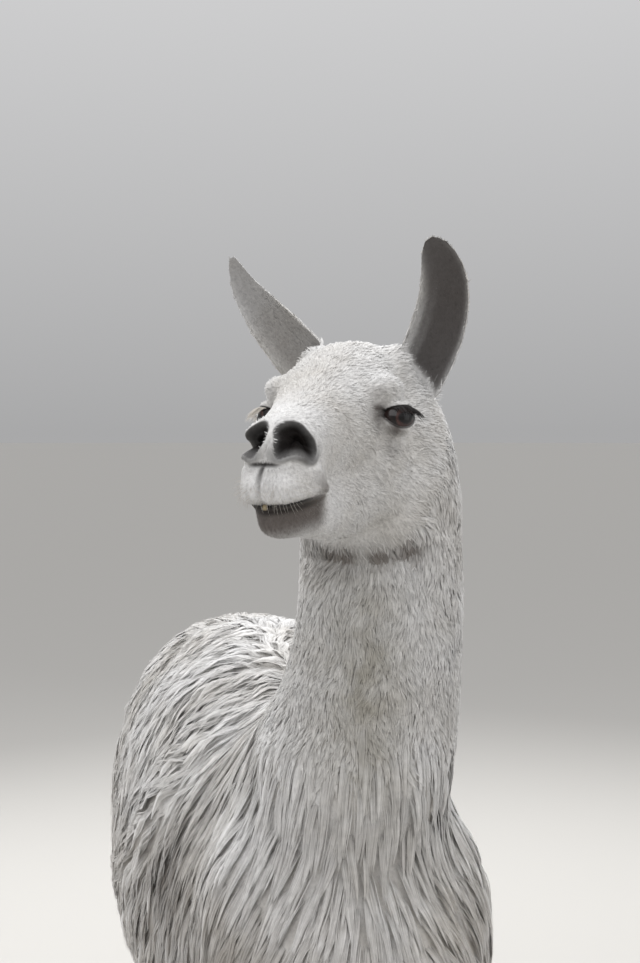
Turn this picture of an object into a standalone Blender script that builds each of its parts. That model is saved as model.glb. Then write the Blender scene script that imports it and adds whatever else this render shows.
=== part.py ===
"""A standing llama, life size and still, as closed solids for its body parts.

Metres, +Z up. The llama faces -Y with its head turned to its right, which is -X, and its soles are flat
on the floor. The solids follow the outside of the coat. The body and the head are each modelled whole,
as tubes and balls fused by a voxel remesh, and are then parted into nodes with thin cuts.
"""

import math

import bmesh
import bpy
import numpy as np
from mathutils import Euler, Matrix, Vector

# Driving dimensions.
BACK_HEIGHT = 1.150  # top of the wool over the loin
TRUNK_HALF_WIDTH = 0.252  # widest, over the ribs
EYE_HEIGHT = 1.437
HEAD_TURN = math.radians(34)  # to the llama's right, from straight ahead
HEAD_NOD = math.radians(1)  # muzzle down from level
EYE_RADIUS = 0.0205
STRIDE = 0.025  # how far each foot stands ahead of or behind its square place
GAP = 0.0003  # left between two nodes that touch

# Where the head sits: halfway between the eyes.
HEAD_CENTRE = Vector((-0.0415, -0.485, EYE_HEIGHT))

# Fineness of the two fused masses.
BODY_VOXEL = 0.008
HEAD_VOXEL = 0.0032
BODY_RELAX = 20  # rounds of smoothing where tubes meet
HEAD_RELAX = 14
BODY_TRIANGLES = 3300
HEAD_TRIANGLES = 2300

SIDES = {"left": 1, "right": -1}
BEYOND = 1.0  # metres: past the model on any side of a cut


# Shapes


def spline(rows, per_span=5):
    """Rows read from a Catmull-Rom curve through the given ones, per_span to each gap."""
    rows = np.array(rows, float)
    ends = np.vstack([2 * rows[0] - rows[1], rows, 2 * rows[-1] - rows[-2]])
    made = []
    for a, b, c, d in zip(ends, ends[1:], ends[2:], ends[3:]):
        for t in np.arange(per_span) / per_span:
            cubic = (2 * a - 5 * b + 4 * c - d) * t**2 + (3 * (b - c) + d - a) * t**3
            made.append(0.5 * (2 * b + (c - a) * t + cubic))
    return np.array([*made, rows[-1]])


def superellipse(angle, exponent):
    """A point of the unit superellipse: exponent 2 is a circle, and more is squarer."""
    c, s = math.cos(angle), math.sin(angle)
    reach = (abs(c) ** exponent + abs(s) ** exponent) ** (-1 / exponent)
    return c * reach, s * reach


def across(ahead, turn):
    """The level direction across a path, turned about Z in degrees, and the direction square to both."""
    side = Vector((math.cos(math.radians(turn)), math.sin(math.radians(turn)), 0))
    side = (side - ahead * side.dot(ahead)).normalized()
    return side, side.cross(ahead)


def skinned(rings):
    """A closed mesh over rings of points, with a cap at each end."""
    mesh = bmesh.new()
    rings = [[mesh.verts.new(point) for point in ring] for ring in rings]
    for first, second in zip(rings, rings[1:]):
        for k in range(len(first)):
            n = (k + 1) % len(first)
            mesh.faces.new((first[k], first[n], second[n], second[k]))
    mesh.faces.new(rings[0][::-1])
    mesh.faces.new(rings[-1])
    bmesh.ops.recalc_face_normals(mesh, faces=mesh.faces)
    return mesh


def tube(sections, exponents=(2.0, 2.0), around=28, per_span=5):
    """A closed mesh through sections (x, y, z, half-width, over, under, turn in degrees).

    Each section is square to the path. Its half-width lies along X turned about Z, and over and under
    are its reach to either side of the path: over is the back on a trunk and the front on a leg or neck.
    The two exponents are the squareness of those two halves.
    """
    rows = spline(sections, per_span)
    tangents = np.gradient(rows[:, :3], axis=0)
    rings = []
    for row, tangent in zip(rows, tangents):
        side, over = across(Vector(tangent).normalized(), row[6])
        ring = []
        for k in range(around):
            angle = 2 * math.pi * k / around
            upper = math.sin(angle) > 0
            u, v = superellipse(angle, exponents[0] if upper else exponents[1])
            ring.append(Vector(row[:3]) + side * u * row[3] + over * v * (row[4] if upper else row[5]))
        rings.append(ring)
    return skinned(rings)


def ball(centre, radii, turned=(0, 0, 0), segments=24):
    """An ellipsoid, turned by Euler angles in degrees."""
    mesh = bmesh.new()
    place = Matrix.Translation(centre) @ Euler([math.radians(a) for a in turned]).to_matrix().to_4x4()
    scale = Matrix.Diagonal((*radii, 1))
    rows = segments // 2
    bmesh.ops.create_uvsphere(mesh, u_segments=segments, v_segments=rows, radius=1, matrix=place @ scale)
    return mesh


def box(low, high):
    """A box between two corners."""
    mesh = bmesh.new()
    size = Vector(high) - Vector(low)
    middle = (Vector(high) + Vector(low)) / 2
    bmesh.ops.create_cube(mesh, size=1, matrix=Matrix.Translation(middle) @ Matrix.Diagonal((*size, 1)))
    return mesh


# Objects


def add_object(name, mesh):
    """An object in the scene from a bmesh, which it frees."""
    data = bpy.data.meshes.new(name)
    mesh.to_mesh(data)
    mesh.free()
    made = bpy.data.objects.new(name, data)
    bpy.context.scene.collection.objects.link(made)
    return made


def settle(target):
    """Applies the object's modifiers."""
    bpy.context.view_layer.update()
    graph = bpy.context.evaluated_depsgraph_get()
    data = bpy.data.meshes.new_from_object(target.evaluated_get(graph), depsgraph=graph)
    target.modifiers.clear()
    target.data = data
    return target


def combine(target, other, operation):
    """A Boolean of target with other, which is then removed."""
    step = target.modifiers.new(operation.lower(), "BOOLEAN")
    step.operation = operation
    step.object = other
    step.solver = "EXACT"
    settle(target)
    bpy.data.objects.remove(other)
    return target


def copy_of(source, name, grow=0.0):
    """A copy of an object, its surface moved out by grow."""
    made = source.copy()
    made.data = source.data.copy()
    made.name = name
    bpy.context.scene.collection.objects.link(made)
    if grow:
        outward = [vertex.normal.copy() for vertex in made.data.vertices]
        for vertex, normal in zip(made.data.vertices, outward):
            vertex.co += normal * grow
    return made


def fused(name, meshes, voxel, relax, triangles):
    """One closed skin round the given meshes, softened where they meet and thinned to a triangle count."""
    whole = bmesh.new()
    for mesh in meshes:
        data = bpy.data.meshes.new("piece")
        mesh.to_mesh(data)
        mesh.free()
        whole.from_mesh(data)
        bpy.data.meshes.remove(data)
    made = add_object(name, whole)
    remesh = made.modifiers.new("remesh", "REMESH")
    remesh.mode = "VOXEL"
    remesh.voxel_size = voxel
    soften = made.modifiers.new("soften", "SMOOTH")
    soften.iterations = relax
    soften.factor = 0.5
    settle(made)
    thin = made.modifiers.new("thin", "DECIMATE")
    thin.ratio = triangles / (2 * len(made.data.polygons))
    return settle(made)


def halfspace(point, outward):
    """A region: what lies on the outward side of a plane, as a function of grow that makes its solid."""
    turn = Vector(outward).to_track_quat("Z", "Y").to_matrix().to_4x4()
    reach = 3 * BEYOND

    def solid(grow):
        mesh = box((-reach, -reach, -grow), (reach, reach, reach))
        mesh.transform(Matrix.Translation(point) @ turn)
        return mesh

    return solid


def block(low, high):
    """A region: a box, as a function of grow that makes its solid."""
    return lambda grow: box([a - grow for a in low], [a + grow for a in high])


def take(source, name, region):
    """Parts source with a thin cut: what lies inside region becomes a new object."""
    piece = combine(copy_of(source, name), add_object("cutter", region(-GAP / 2)), "INTERSECT")
    combine(source, add_object("cutter", region(GAP / 2)), "DIFFERENCE")
    return piece


# The body: trunk, neck, legs and tail

TRUNK = [
    # x, y, z, half-width, up, down, turn
    (0, -0.535, 0.870, 0.060, 0.08, 0.08, 0),
    (0, -0.505, 0.850, 0.112, 0.16, 0.155, 0),
    (0, -0.430, 0.790, 0.170, 0.25, 0.170, 0),
    (0, -0.310, 0.740, 0.214, 0.335, 0.152, 0),
    (0, -0.120, 0.715, 0.245, 0.392, 0.135, 0),
    (0, 0.080, 0.720, TRUNK_HALF_WIDTH, 0.410, 0.125, 0),
    (0, 0.240, 0.750, 0.238, BACK_HEIGHT - 0.75, 0.120, 0),
    (0, 0.370, 0.800, 0.224, 0.344, 0.120, 0),
    (0, 0.470, 0.840, 0.190, 0.280, 0.120, 0),
    (0, 0.535, 0.870, 0.134, 0.195, 0.110, 0),
    (0, 0.572, 0.885, 0.070, 0.100, 0.070, 0),
]
TRUNK_EXPONENTS = (2.2, 2.7)
NECK = [
    # x, y, z, half-width, front, back, turn
    (-0.004, -0.250, 0.780, 0.130, 0.150, 0.170, 0),
    (-0.002, -0.330, 0.900, 0.152, 0.190, 0.210, 0),
    (0.008, -0.385, 1.000, 0.136, 0.150, 0.185, -4),
    (0.026, -0.405, 1.080, 0.118, 0.118, 0.152, -10),
    (0.038, -0.412, 1.180, 0.106, 0.103, 0.124, -16),
    (0.040, -0.412, 1.280, 0.101, 0.097, 0.110, -24),
    (0.037, -0.408, 1.370, 0.099, 0.088, 0.102, -32),
    (0.028, -0.405, 1.440, 0.085, 0.075, 0.085, -34),
    (0.014, -0.412, 1.488, 0.062, 0.055, 0.062, -34),
]
NECK_EXPONENTS = (2.1, 2.1)
FORELEG = [
    (0.100, -0.400, -0.020, 0.030, 0.034, 0.030, 0),
    (0.100, -0.388, 0.055, 0.031, 0.034, 0.034, 0),
    (0.100, -0.372, 0.115, 0.032, 0.032, 0.036, 0),
    (0.101, -0.368, 0.170, 0.027, 0.028, 0.031, 0),
    (0.102, -0.364, 0.270, 0.027, 0.028, 0.030, 0),
    (0.105, -0.360, 0.370, 0.038, 0.041, 0.037, 0),
    (0.110, -0.350, 0.450, 0.042, 0.046, 0.046, 0),
    (0.118, -0.335, 0.570, 0.056, 0.066, 0.070, 0),
    (0.120, -0.335, 0.700, 0.075, 0.105, 0.115, 0),
    (0.100, -0.340, 0.840, 0.080, 0.120, 0.130, 0),
]
HINDLEG = [
    (0.105, 0.462, -0.020, 0.030, 0.034, 0.030, 0),
    (0.105, 0.478, 0.055, 0.031, 0.034, 0.034, 0),
    (0.105, 0.500, 0.120, 0.032, 0.033, 0.036, 0),
    (0.106, 0.512, 0.180, 0.028, 0.030, 0.032, 0),
    (0.108, 0.528, 0.300, 0.029, 0.031, 0.033, 0),
    (0.110, 0.538, 0.410, 0.036, 0.041, 0.044, 0),
    (0.116, 0.498, 0.500, 0.044, 0.058, 0.054, 0),
    (0.128, 0.440, 0.600, 0.063, 0.102, 0.088, 0),
    (0.132, 0.395, 0.710, 0.082, 0.125, 0.135, 0),
    (0.115, 0.375, 0.850, 0.092, 0.150, 0.165, 0),
    (0.090, 0.380, 0.930, 0.085, 0.130, 0.150, 0),
]
STRIDE_SPAN = (0.12, 0.60)  # the heights between which a stride leans the leg
TAIL = [
    (0, 0.470, 0.985, 0.060, 0.050, 0.050, 0),
    (0, 0.548, 0.978, 0.056, 0.046, 0.046, 0),
    (0, 0.606, 0.930, 0.054, 0.042, 0.042, 0),
    (0, 0.628, 0.850, 0.052, 0.036, 0.036, 0),
    (0, 0.632, 0.765, 0.040, 0.028, 0.028, 0),
    (0, 0.628, 0.700, 0.014, 0.012, 0.012, 0),
]
BODY_BALLS = [
    # centre and radii of one side's: point of the shoulder, stifle, buttock
    ((0.116, -0.380, 0.790), (0.088, 0.110, 0.180)),
    ((0.145, 0.330, 0.730), (0.065, 0.090, 0.110)),
    ((0.090, 0.470, 0.820), (0.088, 0.088, 0.150)),
]
TOE_SPREAD = 0.019
TOE_RADII = (0.0205, 0.044, 0.030)
TOE_HEIGHT = 0.018
TOE_AHEAD = 0.028  # of the leg's own foot
TOE_TILT = 8  # degrees, tip down
TOE_SPLAY = 5  # degrees, tips apart
NAIL_RADII = (0.0125, 0.022, 0.012)
NAIL_PLACE = (0.001, 0.012, 0.021)  # in from the toe's middle, back from its tip, and height
NAIL_TILT = 32  # degrees, tip down
NAIL_SEGMENTS = 10
CLEFT_HALF_WIDTH = 0.0022
CLEFT_LENGTH = 0.050  # back from the tips
CLEFT_HEIGHT = 0.030
CLEFT_MARGIN = 0.020  # of its cutter past the tips and below the soles


def legs():
    """Name and sections of each leg; diagonal feet step the same way."""
    low, high = STRIDE_SPAN
    for side, sign in SIDES.items():
        for pair, rows in (("front", FORELEG), ("hind", HINDLEG)):
            step = -STRIDE * sign * (1 if pair == "front" else -1)
            sections = []
            for x, y, z, *rest in rows:
                shift = step * min(max((high - z) / (high - low), 0), 1)
                sections.append((sign * x, y + shift, z, *rest))
            yield f"{pair}_{side}", sections


def toe_places(sections):
    """The middle of each of a foot's two toes, on the floor, and which way it leans."""
    foot_x, foot_y = sections[1][0], sections[1][1]
    return [(foot_x + s * TOE_SPREAD, foot_y - TOE_AHEAD, s) for s in (-1, 1)]


def body_mass():
    """The trunk, neck, legs, toes and tail as one closed skin."""
    meshes = [
        tube(TRUNK, TRUNK_EXPONENTS, around=40, per_span=6),
        tube(NECK, NECK_EXPONENTS, around=32, per_span=6),
        tube(TAIL),
    ]
    for _, sections in legs():
        meshes.append(tube(sections))
        for x, y, s in toe_places(sections):
            meshes.append(ball((x, y, TOE_HEIGHT), TOE_RADII, (TOE_TILT, 0, -TOE_SPLAY * s)))
    for (x, y, z), radii in BODY_BALLS:
        for sign in SIDES.values():
            meshes.append(ball((sign * x, y, z), radii))
    return fused("trunk", meshes, BODY_VOXEL, BODY_RELAX, BODY_TRIANGLES)


# The head, in its own frame: origin halfway between the eyes, muzzle towards -Y

HEAD_PLACE = (
    Matrix.Translation(HEAD_CENTRE)
    @ Matrix.Rotation(-HEAD_TURN, 4, "Z")
    @ Matrix.Rotation(HEAD_NOD, 4, "X")
)
CRANIUM = [
    # x, y, z, half-width, up, down, turn: nose to poll
    (0, -0.194, -0.040, 0.020, 0.020, 0.020, 0),
    (0, -0.183, -0.038, 0.031, 0.031, 0.034, 0),
    (0, -0.155, -0.036, 0.036, 0.040, 0.044, 0),
    (0, -0.120, -0.032, 0.041, 0.046, 0.046, 0),
    (0, -0.080, -0.026, 0.049, 0.054, 0.050, 0),
    (0, -0.040, -0.018, 0.060, 0.066, 0.056, 0),
    (0, 0.000, -0.010, 0.070, 0.080, 0.060, 0),
    (0, 0.045, 0.000, 0.071, 0.086, 0.070, 0),
    (0, 0.090, 0.006, 0.071, 0.083, 0.080, 0),
    (0, 0.125, 0.004, 0.058, 0.066, 0.074, 0),
]
JAW = [
    (0, -0.180, -0.104, 0.016, 0.018, 0.016, 0),
    (0, -0.168, -0.104, 0.027, 0.030, 0.025, 0),
    (0, -0.140, -0.102, 0.033, 0.032, 0.028, 0),
    (0, -0.100, -0.098, 0.040, 0.036, 0.036, 0),
    (0, -0.050, -0.092, 0.050, 0.046, 0.050, 0),
    (0, 0.000, -0.086, 0.059, 0.056, 0.057, 0),
    (0, 0.050, -0.080, 0.064, 0.060, 0.062, 0),
    (0, 0.100, -0.066, 0.056, 0.052, 0.052, 0),
]
HEAD_BALLS = [
    # centre, radii, turned: those off the middle are made on both sides
    ((0.016, -0.178, -0.076), (0.022, 0.023, 0.021), (0, 0, 0)),  # upper lip, front
    ((0.027, -0.152, -0.074), (0.020, 0.038, 0.021), (0, 0, 0)),  # upper lip, side
    ((0.021, -0.172, -0.030), (0.019, 0.026, 0.023), (0, 0, 0)),  # nostril wing
    ((0.050, 0.042, -0.062), (0.036, 0.068, 0.074), (0, 0, 0)),  # cheek
    ((0.055, 0.010, 0.020), (0.030, 0.042, 0.030), (0, 0, 0)),  # brow
    ((0.048, 0.080, 0.050), (0.028, 0.028, 0.036), (0, 0, 0)),  # ear root
]
EYE_PLACE = Vector((0.0730, 0.008, -0.003))
EYE_SEGMENTS = (16, 10)
EARS = {
    # x, y, z, half-width, cup depth, facing in degrees from the muzzle's way to the outside
    "left": [
        (0.030, 0.078, -0.030, 0.016, 0.008, 30),
        (0.058, 0.085, 0.006, 0.024, 0.016, 30),
        (0.078, 0.088, 0.045, 0.032, 0.026, 30),
        (0.098, 0.092, 0.094, 0.033, 0.024, 26),
        (0.107, 0.094, 0.136, 0.030, 0.018, 20),
        (0.105, 0.092, 0.170, 0.026, 0.013, 14),
        (0.096, 0.088, 0.195, 0.017, 0.007, 8),
        (0.090, 0.086, 0.206, 0.005, 0.003, 8),
    ],
    "right": [
        (-0.010, 0.078, 0.000, 0.020, 0.010, -10),
        (-0.040, 0.085, 0.030, 0.030, 0.018, -10),
        (-0.069, 0.090, 0.064, 0.034, 0.026, -10),
        (-0.097, 0.092, 0.094, 0.031, 0.024, -8),
        (-0.123, 0.092, 0.124, 0.026, 0.018, -6),
        (-0.146, 0.090, 0.156, 0.018, 0.010, -4),
        (-0.157, 0.087, 0.182, 0.010, 0.005, -4),
        (-0.161, 0.085, 0.195, 0.004, 0.003, -4),
    ],
}
EAR_THICKNESS = 0.005
EAR_RIM = 0.35  # of that thickness, at the edges


def head_mass():
    """The head as one closed skin, with the length of neck that it grows out of."""
    meshes = [tube(CRANIUM, (2.3, 2.3), around=32), tube(JAW, (2.2, 2.4), around=32)]
    for (x, y, z), radii, turned in HEAD_BALLS:
        for sign in (1, -1) if x else (1,):
            meshes.append(ball((sign * x, y, z), radii, (turned[0], sign * turned[1], sign * turned[2])))
    for mesh in meshes:
        mesh.transform(HEAD_PLACE)
    meshes.append(tube(NECK, NECK_EXPONENTS, around=32, per_span=6))
    return fused("head", meshes, HEAD_VOXEL, HEAD_RELAX, HEAD_TRIANGLES)


def ear(rows, across_points=8, per_span=2):
    """A cupped leaf: each section is a crescent, open towards its facing."""
    rows = spline(rows, per_span)
    tangents = np.gradient(rows[:, :3], axis=0)
    rings = []
    for row, tangent in zip(rows, tangents):
        along = Vector(tangent).normalized()
        facing = Vector((math.sin(math.radians(row[5])), -math.cos(math.radians(row[5])), 0))
        facing = (facing - along * facing.dot(along)).normalized()
        side = facing.cross(along)
        half, cup = row[3], row[4]
        thick = min(EAR_THICKNESS, half)
        back, front = [], []
        for k in range(across_points):
            t = 2 * k / (across_points - 1) - 1
            bow = side * math.sin(t * math.pi / 2) * half - facing * cup * math.cos(t * math.pi / 2)
            edge = EAR_RIM + (1 - EAR_RIM) * math.sqrt(1 - t**2)
            out = side * math.sin(t * math.pi / 2) * 0.5 - facing * math.cos(t * math.pi / 2)
            back.append(Vector(row[:3]) + bow + out * thick * edge / 2)
            front.append(Vector(row[:3]) + bow - out * thick * edge / 2)
        rings.append(back + front[::-1])
    return skinned(rings)


def clad(target, finish):
    """Gives an object its material and smooth shading with edges kept where it was cut."""
    target.data.materials.clear()
    target.data.materials.append(finish)
    target.data.shade_smooth()
    target.data.set_sharp_from_angle(angle=math.radians(40))
    return target


def finish_of(name, colour, roughness):
    """A material: colour as linear red, green and blue."""
    made = bpy.data.materials.new(name)
    made.use_nodes = True
    shader = made.node_tree.nodes["Principled BSDF"]
    shader.inputs["Base Color"].default_value = (*colour, 1)
    shader.inputs["Roughness"].default_value = roughness
    shader.inputs["Metallic"].default_value = 0
    return made


# Parting the masses into nodes

THROAT = (0, 0.015, -0.160)  # in the head's frame, where the cut below the head starts
HEAD_CUT = (0, -0.847, 0.532)  # the way it faces there, square to the line from throat to nape
NECK_FOOT = (0, -0.330, 1.075)  # in front of the withers
NECK_CUT = (0, -0.545, 0.838)
TAIL_ROOT_Y = 0.592
TAIL_HALF_WIDTH = 0.07
TAIL_SPAN = (0.66, 1.02)  # the heights between which the tail hangs
LEG_CUTS = {
    # from the bottom: the heights of fetlock, knee or hock, and the body
    "front": (0.105, 0.370, 0.575),
    "hind": (0.108, 0.410, 0.605),
}
LEG_PARTS = {"front": ("foot", "cannon", "forearm"), "hind": ("foot", "cannon", "thigh")}
LEG_ROOM = 0.20  # a leg stays this far ahead of and behind its own foot
LEG_INSIDE = 0.03  # and this far from the middle plane


def part_head(body, head):
    """Cuts both masses to the plane behind the head, and lays the soles flat on the floor."""
    above = halfspace(HEAD_PLACE @ Vector(THROAT), HEAD_PLACE.to_3x3() @ Vector(HEAD_CUT))
    combine(head, add_object("cutter", above(-GAP / 2)), "INTERSECT")
    combine(body, add_object("cutter", above(GAP / 2)), "DIFFERENCE")
    combine(body, add_object("cutter", halfspace((0, 0, 0), (0, 0, -1))(0)), "DIFFERENCE")


def part_body(body):
    """Takes the neck, the tail and each leg's parts from the body, and returns them."""
    pieces = [take(body, "neck", halfspace(NECK_FOOT, NECK_CUT))]
    tail_low = (-TAIL_HALF_WIDTH, TAIL_ROOT_Y, TAIL_SPAN[0])
    tail_high = (TAIL_HALF_WIDTH, BEYOND, TAIL_SPAN[1])
    pieces.append(take(body, "tail", block(tail_low, tail_high)))
    for name, sections in legs():
        pair, side = name.split("_")
        sign, foot_y = SIDES[side], sections[1][1]
        nearest, farthest = sorted((sign * LEG_INSIDE, sign * BEYOND))
        low = -BEYOND
        for part, high in zip(LEG_PARTS[pair], LEG_CUTS[pair]):
            region = block((nearest, foot_y - LEG_ROOM, low), (farthest, foot_y + LEG_ROOM, high))
            pieces.append(take(body, f"{part}_{name}", region))
            low = high
    return pieces


def eyes(head):
    """Cuts a socket for each eye and returns the eyeballs."""
    made = []
    for side, sign in SIDES.items():
        place = HEAD_PLACE @ Matrix.Translation((sign * EYE_PLACE.x, EYE_PLACE.y, EYE_PLACE.z))
        balls = []
        for name, radius in (("eye_" + side, EYE_RADIUS), ("socket", EYE_RADIUS + GAP)):
            mesh = bmesh.new()
            around, rows = EYE_SEGMENTS
            bmesh.ops.create_uvsphere(mesh, u_segments=around, v_segments=rows, radius=radius, matrix=place)
            balls.append(add_object(name, mesh))
        combine(head, balls[1], "DIFFERENCE")
        made.append(balls[0])
    return made


def ears(head, neck):
    """Makes the ears and trims their roots to the head and the neck."""
    made = []
    for side, rows in EARS.items():
        leaf = ear(rows)
        leaf.transform(HEAD_PLACE)
        leaf = add_object(f"ear_{side}", leaf)
        for flesh_piece in (head, neck):
            combine(leaf, copy_of(flesh_piece, "clearance", GAP), "DIFFERENCE")
        made.append(leaf)
    return made


def toes(feet):
    """Parts each foot's two toes with a cleft, and lets a horny nail into the tip of each."""
    made = []
    for name, sections in legs():
        foot = feet[f"foot_{name}"]
        places = toe_places(sections)
        middle = sum(x for x, _, _ in places) / 2
        tip = places[0][1] - TOE_RADII[1]
        low = (middle - CLEFT_HALF_WIDTH, tip - CLEFT_MARGIN, -CLEFT_MARGIN)
        high = (middle + CLEFT_HALF_WIDTH, tip + CLEFT_LENGTH, CLEFT_HEIGHT)
        combine(foot, add_object("cutter", box(low, high)), "DIFFERENCE")
        inward, back, height = NAIL_PLACE
        for x, _, s in places:
            where = "inner" if s * SIDES[name.split("_")[1]] < 0 else "outer"
            centre = (x - s * inward, tip + back, height)
            nail, socket = (
                ball(centre, [radius + grow for radius in NAIL_RADII], (NAIL_TILT, 0, 0), NAIL_SEGMENTS)
                for grow in (0, GAP)
            )
            made.append(add_object(f"nail_{name}_{where}", nail))
            combine(foot, add_object("cutter", socket), "DIFFERENCE")
    return made


def stand(pieces):
    """Gives each piece its own origin and hangs all on an empty, at the bottom centre of the whole."""
    lows, highs = [], []
    for piece in pieces:
        corners = np.array([vertex.co for vertex in piece.data.vertices])
        lows.append(corners.min(axis=0))
        highs.append(corners.max(axis=0))
        centre = Vector((lows[-1] + highs[-1]) / 2)
        piece.data.transform(Matrix.Translation(-centre))
        piece.location = centre
    low, high = np.min(lows, axis=0), np.max(highs, axis=0)
    root = bpy.data.objects.new("llama", None)
    root.location = (-(low[0] + high[0]) / 2, -(low[1] + high[1]) / 2, -low[2])
    bpy.context.scene.collection.objects.link(root)
    for piece in pieces:
        piece.parent = root


# Making the model

for thing in list(bpy.data.objects):
    bpy.data.objects.remove(thing)

trunk = body_mass()
head = head_mass()
part_head(trunk, head)
neck, *limbs = part_body(trunk)
claws = toes({piece.name: piece for piece in limbs})
eyeballs = eyes(head)
flesh = [trunk, head, neck, *limbs, *ears(head, neck)]

fleece = finish_of("fleece", (0.66, 0.60, 0.53), 0.9)
horn = finish_of("horn", (0.05, 0.042, 0.036), 0.45)
eyeball = finish_of("eyeball", (0.012, 0.008, 0.006), 0.08)
for group, finish in ((flesh, fleece), (claws, horn), (eyeballs, eyeball)):
    for piece in group:
        clad(piece, finish)
stand([*flesh, *claws, *eyeballs])
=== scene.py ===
import math

import bmesh
import bpy
import numpy as np
from mathutils import Matrix, Vector
from mathutils.bvhtree import BVHTree
from mathutils.kdtree import KDTree


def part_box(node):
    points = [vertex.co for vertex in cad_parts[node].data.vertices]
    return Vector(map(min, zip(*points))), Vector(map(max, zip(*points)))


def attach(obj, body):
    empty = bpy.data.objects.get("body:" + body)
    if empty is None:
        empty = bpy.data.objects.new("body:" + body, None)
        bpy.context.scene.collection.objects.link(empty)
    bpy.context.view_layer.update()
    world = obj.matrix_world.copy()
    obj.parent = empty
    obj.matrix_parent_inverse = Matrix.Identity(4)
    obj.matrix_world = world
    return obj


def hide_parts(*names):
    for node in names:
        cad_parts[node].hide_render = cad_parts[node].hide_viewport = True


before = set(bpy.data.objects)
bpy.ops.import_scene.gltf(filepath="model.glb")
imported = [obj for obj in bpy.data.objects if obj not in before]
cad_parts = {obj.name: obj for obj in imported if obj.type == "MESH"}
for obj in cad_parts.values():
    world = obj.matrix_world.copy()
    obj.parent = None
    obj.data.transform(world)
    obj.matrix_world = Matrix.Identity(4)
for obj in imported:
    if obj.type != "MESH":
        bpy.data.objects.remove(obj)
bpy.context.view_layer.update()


# ---------------------------------------------------------------- Studio
# A still model stands on a plain pale floor, under a broad soft light from the front, a fill from the
# side and a stronger one from behind that catches the tips of the wool. The camera stands at the height
# of the llama's eyes, a little to its right, a metre and a half from the head.


def linear(hex_colour):
    """The linear red, green, blue and alpha of an sRGB hex colour."""
    parts = [int(hex_colour[i : i + 2], 16) / 255 for i in (1, 3, 5)]
    return (*(c / 12.92 if c <= 0.04045 else ((c + 0.055) / 1.055) ** 2.4 for c in parts), 1.0)


def feed(node, sockets):
    """Sets a node's sockets, each to a value or to what comes from the node or socket that is given."""
    for key, value in sockets.items():
        if isinstance(value, bpy.types.Node):
            value = value.outputs[0]
        if isinstance(value, bpy.types.NodeSocket):
            node.id_data.links.new(value, node.inputs[key])
        else:
            node.inputs[key].default_value = value


def add_node(material, kind, sockets=None, **settings):
    """Adds a node, with its settings and what its sockets are fed."""
    node = material.node_tree.nodes.new(f"ShaderNode{kind}")
    for key, value in settings.items():
        setattr(node, key, value)
    feed(node, sockets or {})
    return node


def new_material(name):
    """A material with its Principled shader."""
    made = bpy.data.materials.new(name)
    made.use_nodes = True
    return made, made.node_tree.nodes["Principled BSDF"]


def as_mesh(name, shape):
    """A mesh from a bmesh, which is then done with."""
    made = bpy.data.meshes.new(name)
    shape.to_mesh(made)
    shape.free()
    made.shade_smooth()
    return made


def add_piece(name, mesh, finish):
    """An object in the scene that wears one material."""
    made = bpy.data.objects.new(name, mesh)
    bpy.context.scene.collection.objects.link(made)
    mesh.materials.clear()
    mesh.materials.append(finish)
    return made


def painted_floor():
    """Matt floor paint, rolled: an even pale grey with a faint orange-peel."""
    made, shader = new_material("floor paint, rolled matt")
    place = add_node(made, "TexCoord").outputs["Object"]
    peel = add_node(made, "TexNoise", {"Scale": 400.0, "Vector": place})  # bumps of 2.5 mm
    bump = add_node(made, "Bump", {"Strength": 0.05, "Height": peel})
    feed(shader, {"Base Color": linear("#BFBDB9"), "Roughness": 0.8, "Normal": bump})
    return made


FLOOR_RADIUS = 150.0
disc = bmesh.new()
bmesh.ops.create_circle(disc, cap_ends=True, segments=96, radius=FLOOR_RADIUS)
add_piece("studio_floor", as_mesh("studio_floor", disc), painted_floor())

CAMERA_PLACE = Vector((-0.42405, -1.96379, 1.42))
CAMERA_AZIMUTH = math.radians(-14)  # it looks to the llama's left of straight at it
CAMERA_DOWN = math.radians(2.2)
camera = bpy.data.objects.new("camera", bpy.data.cameras.new("camera"))
camera.data.lens = 50
camera.data.sensor_width = 36
camera.location = CAMERA_PLACE
level_way = Vector((-math.sin(CAMERA_AZIMUTH), math.cos(CAMERA_AZIMUTH), 0))
towards = level_way * math.cos(CAMERA_DOWN) - Vector((0, 0, math.sin(CAMERA_DOWN)))
camera.rotation_euler = towards.to_track_quat("-Z", "Y").to_euler()
bpy.context.scene.collection.objects.link(camera)
bpy.context.scene.camera = camera

LAMPS = {
    # place, what it points at, size, watts
    "key": ((-2.2, -3.2, 3.4), (0.0, -0.3, 1.2), 2.6, 26),
    "fill": ((3.2, -2.6, 1.8), (0.0, -0.3, 1.0), 3.0, 13),
    "rim_left": ((1.9, 2.4, 2.9), (0.0, 0.0, 1.1), 1.8, 62),
    "rim_right": ((-1.1, 2.9, 2.5), (0.0, -0.3, 1.2), 1.8, 52),
    "top": ((0.0, 0.2, 4.2), (0.0, 0.0, 1.0), 3.4, 52),
}
for lamp_name, (lamp_place, aim, lamp_size, watts) in LAMPS.items():
    lamp = bpy.data.objects.new(lamp_name, bpy.data.lights.new(lamp_name, "AREA"))
    lamp.data.size = lamp_size
    lamp.data.energy = watts
    lamp.location = lamp_place
    lamp.rotation_euler = (Vector(aim) - Vector(lamp_place)).to_track_quat("-Z", "Y").to_euler()
    bpy.context.scene.collection.objects.link(lamp)
world = bpy.data.worlds.new("studio")
world.use_nodes = True
way_out = add_node(world, "SeparateXYZ", {0: add_node(world, "TexCoord").outputs["Generated"]})
brighter_up = add_node(world, "MapRange", {0: way_out.outputs["Z"], 1: 0.0, 2: 0.5, 3: 0.50, 4: 0.95})
feed(world.node_tree.nodes["Background"], {"Color": linear("#E6E6E7"), "Strength": brighter_up})
bpy.context.scene.world = world
bpy.context.scene.view_settings.view_transform = "Standard"


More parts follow.
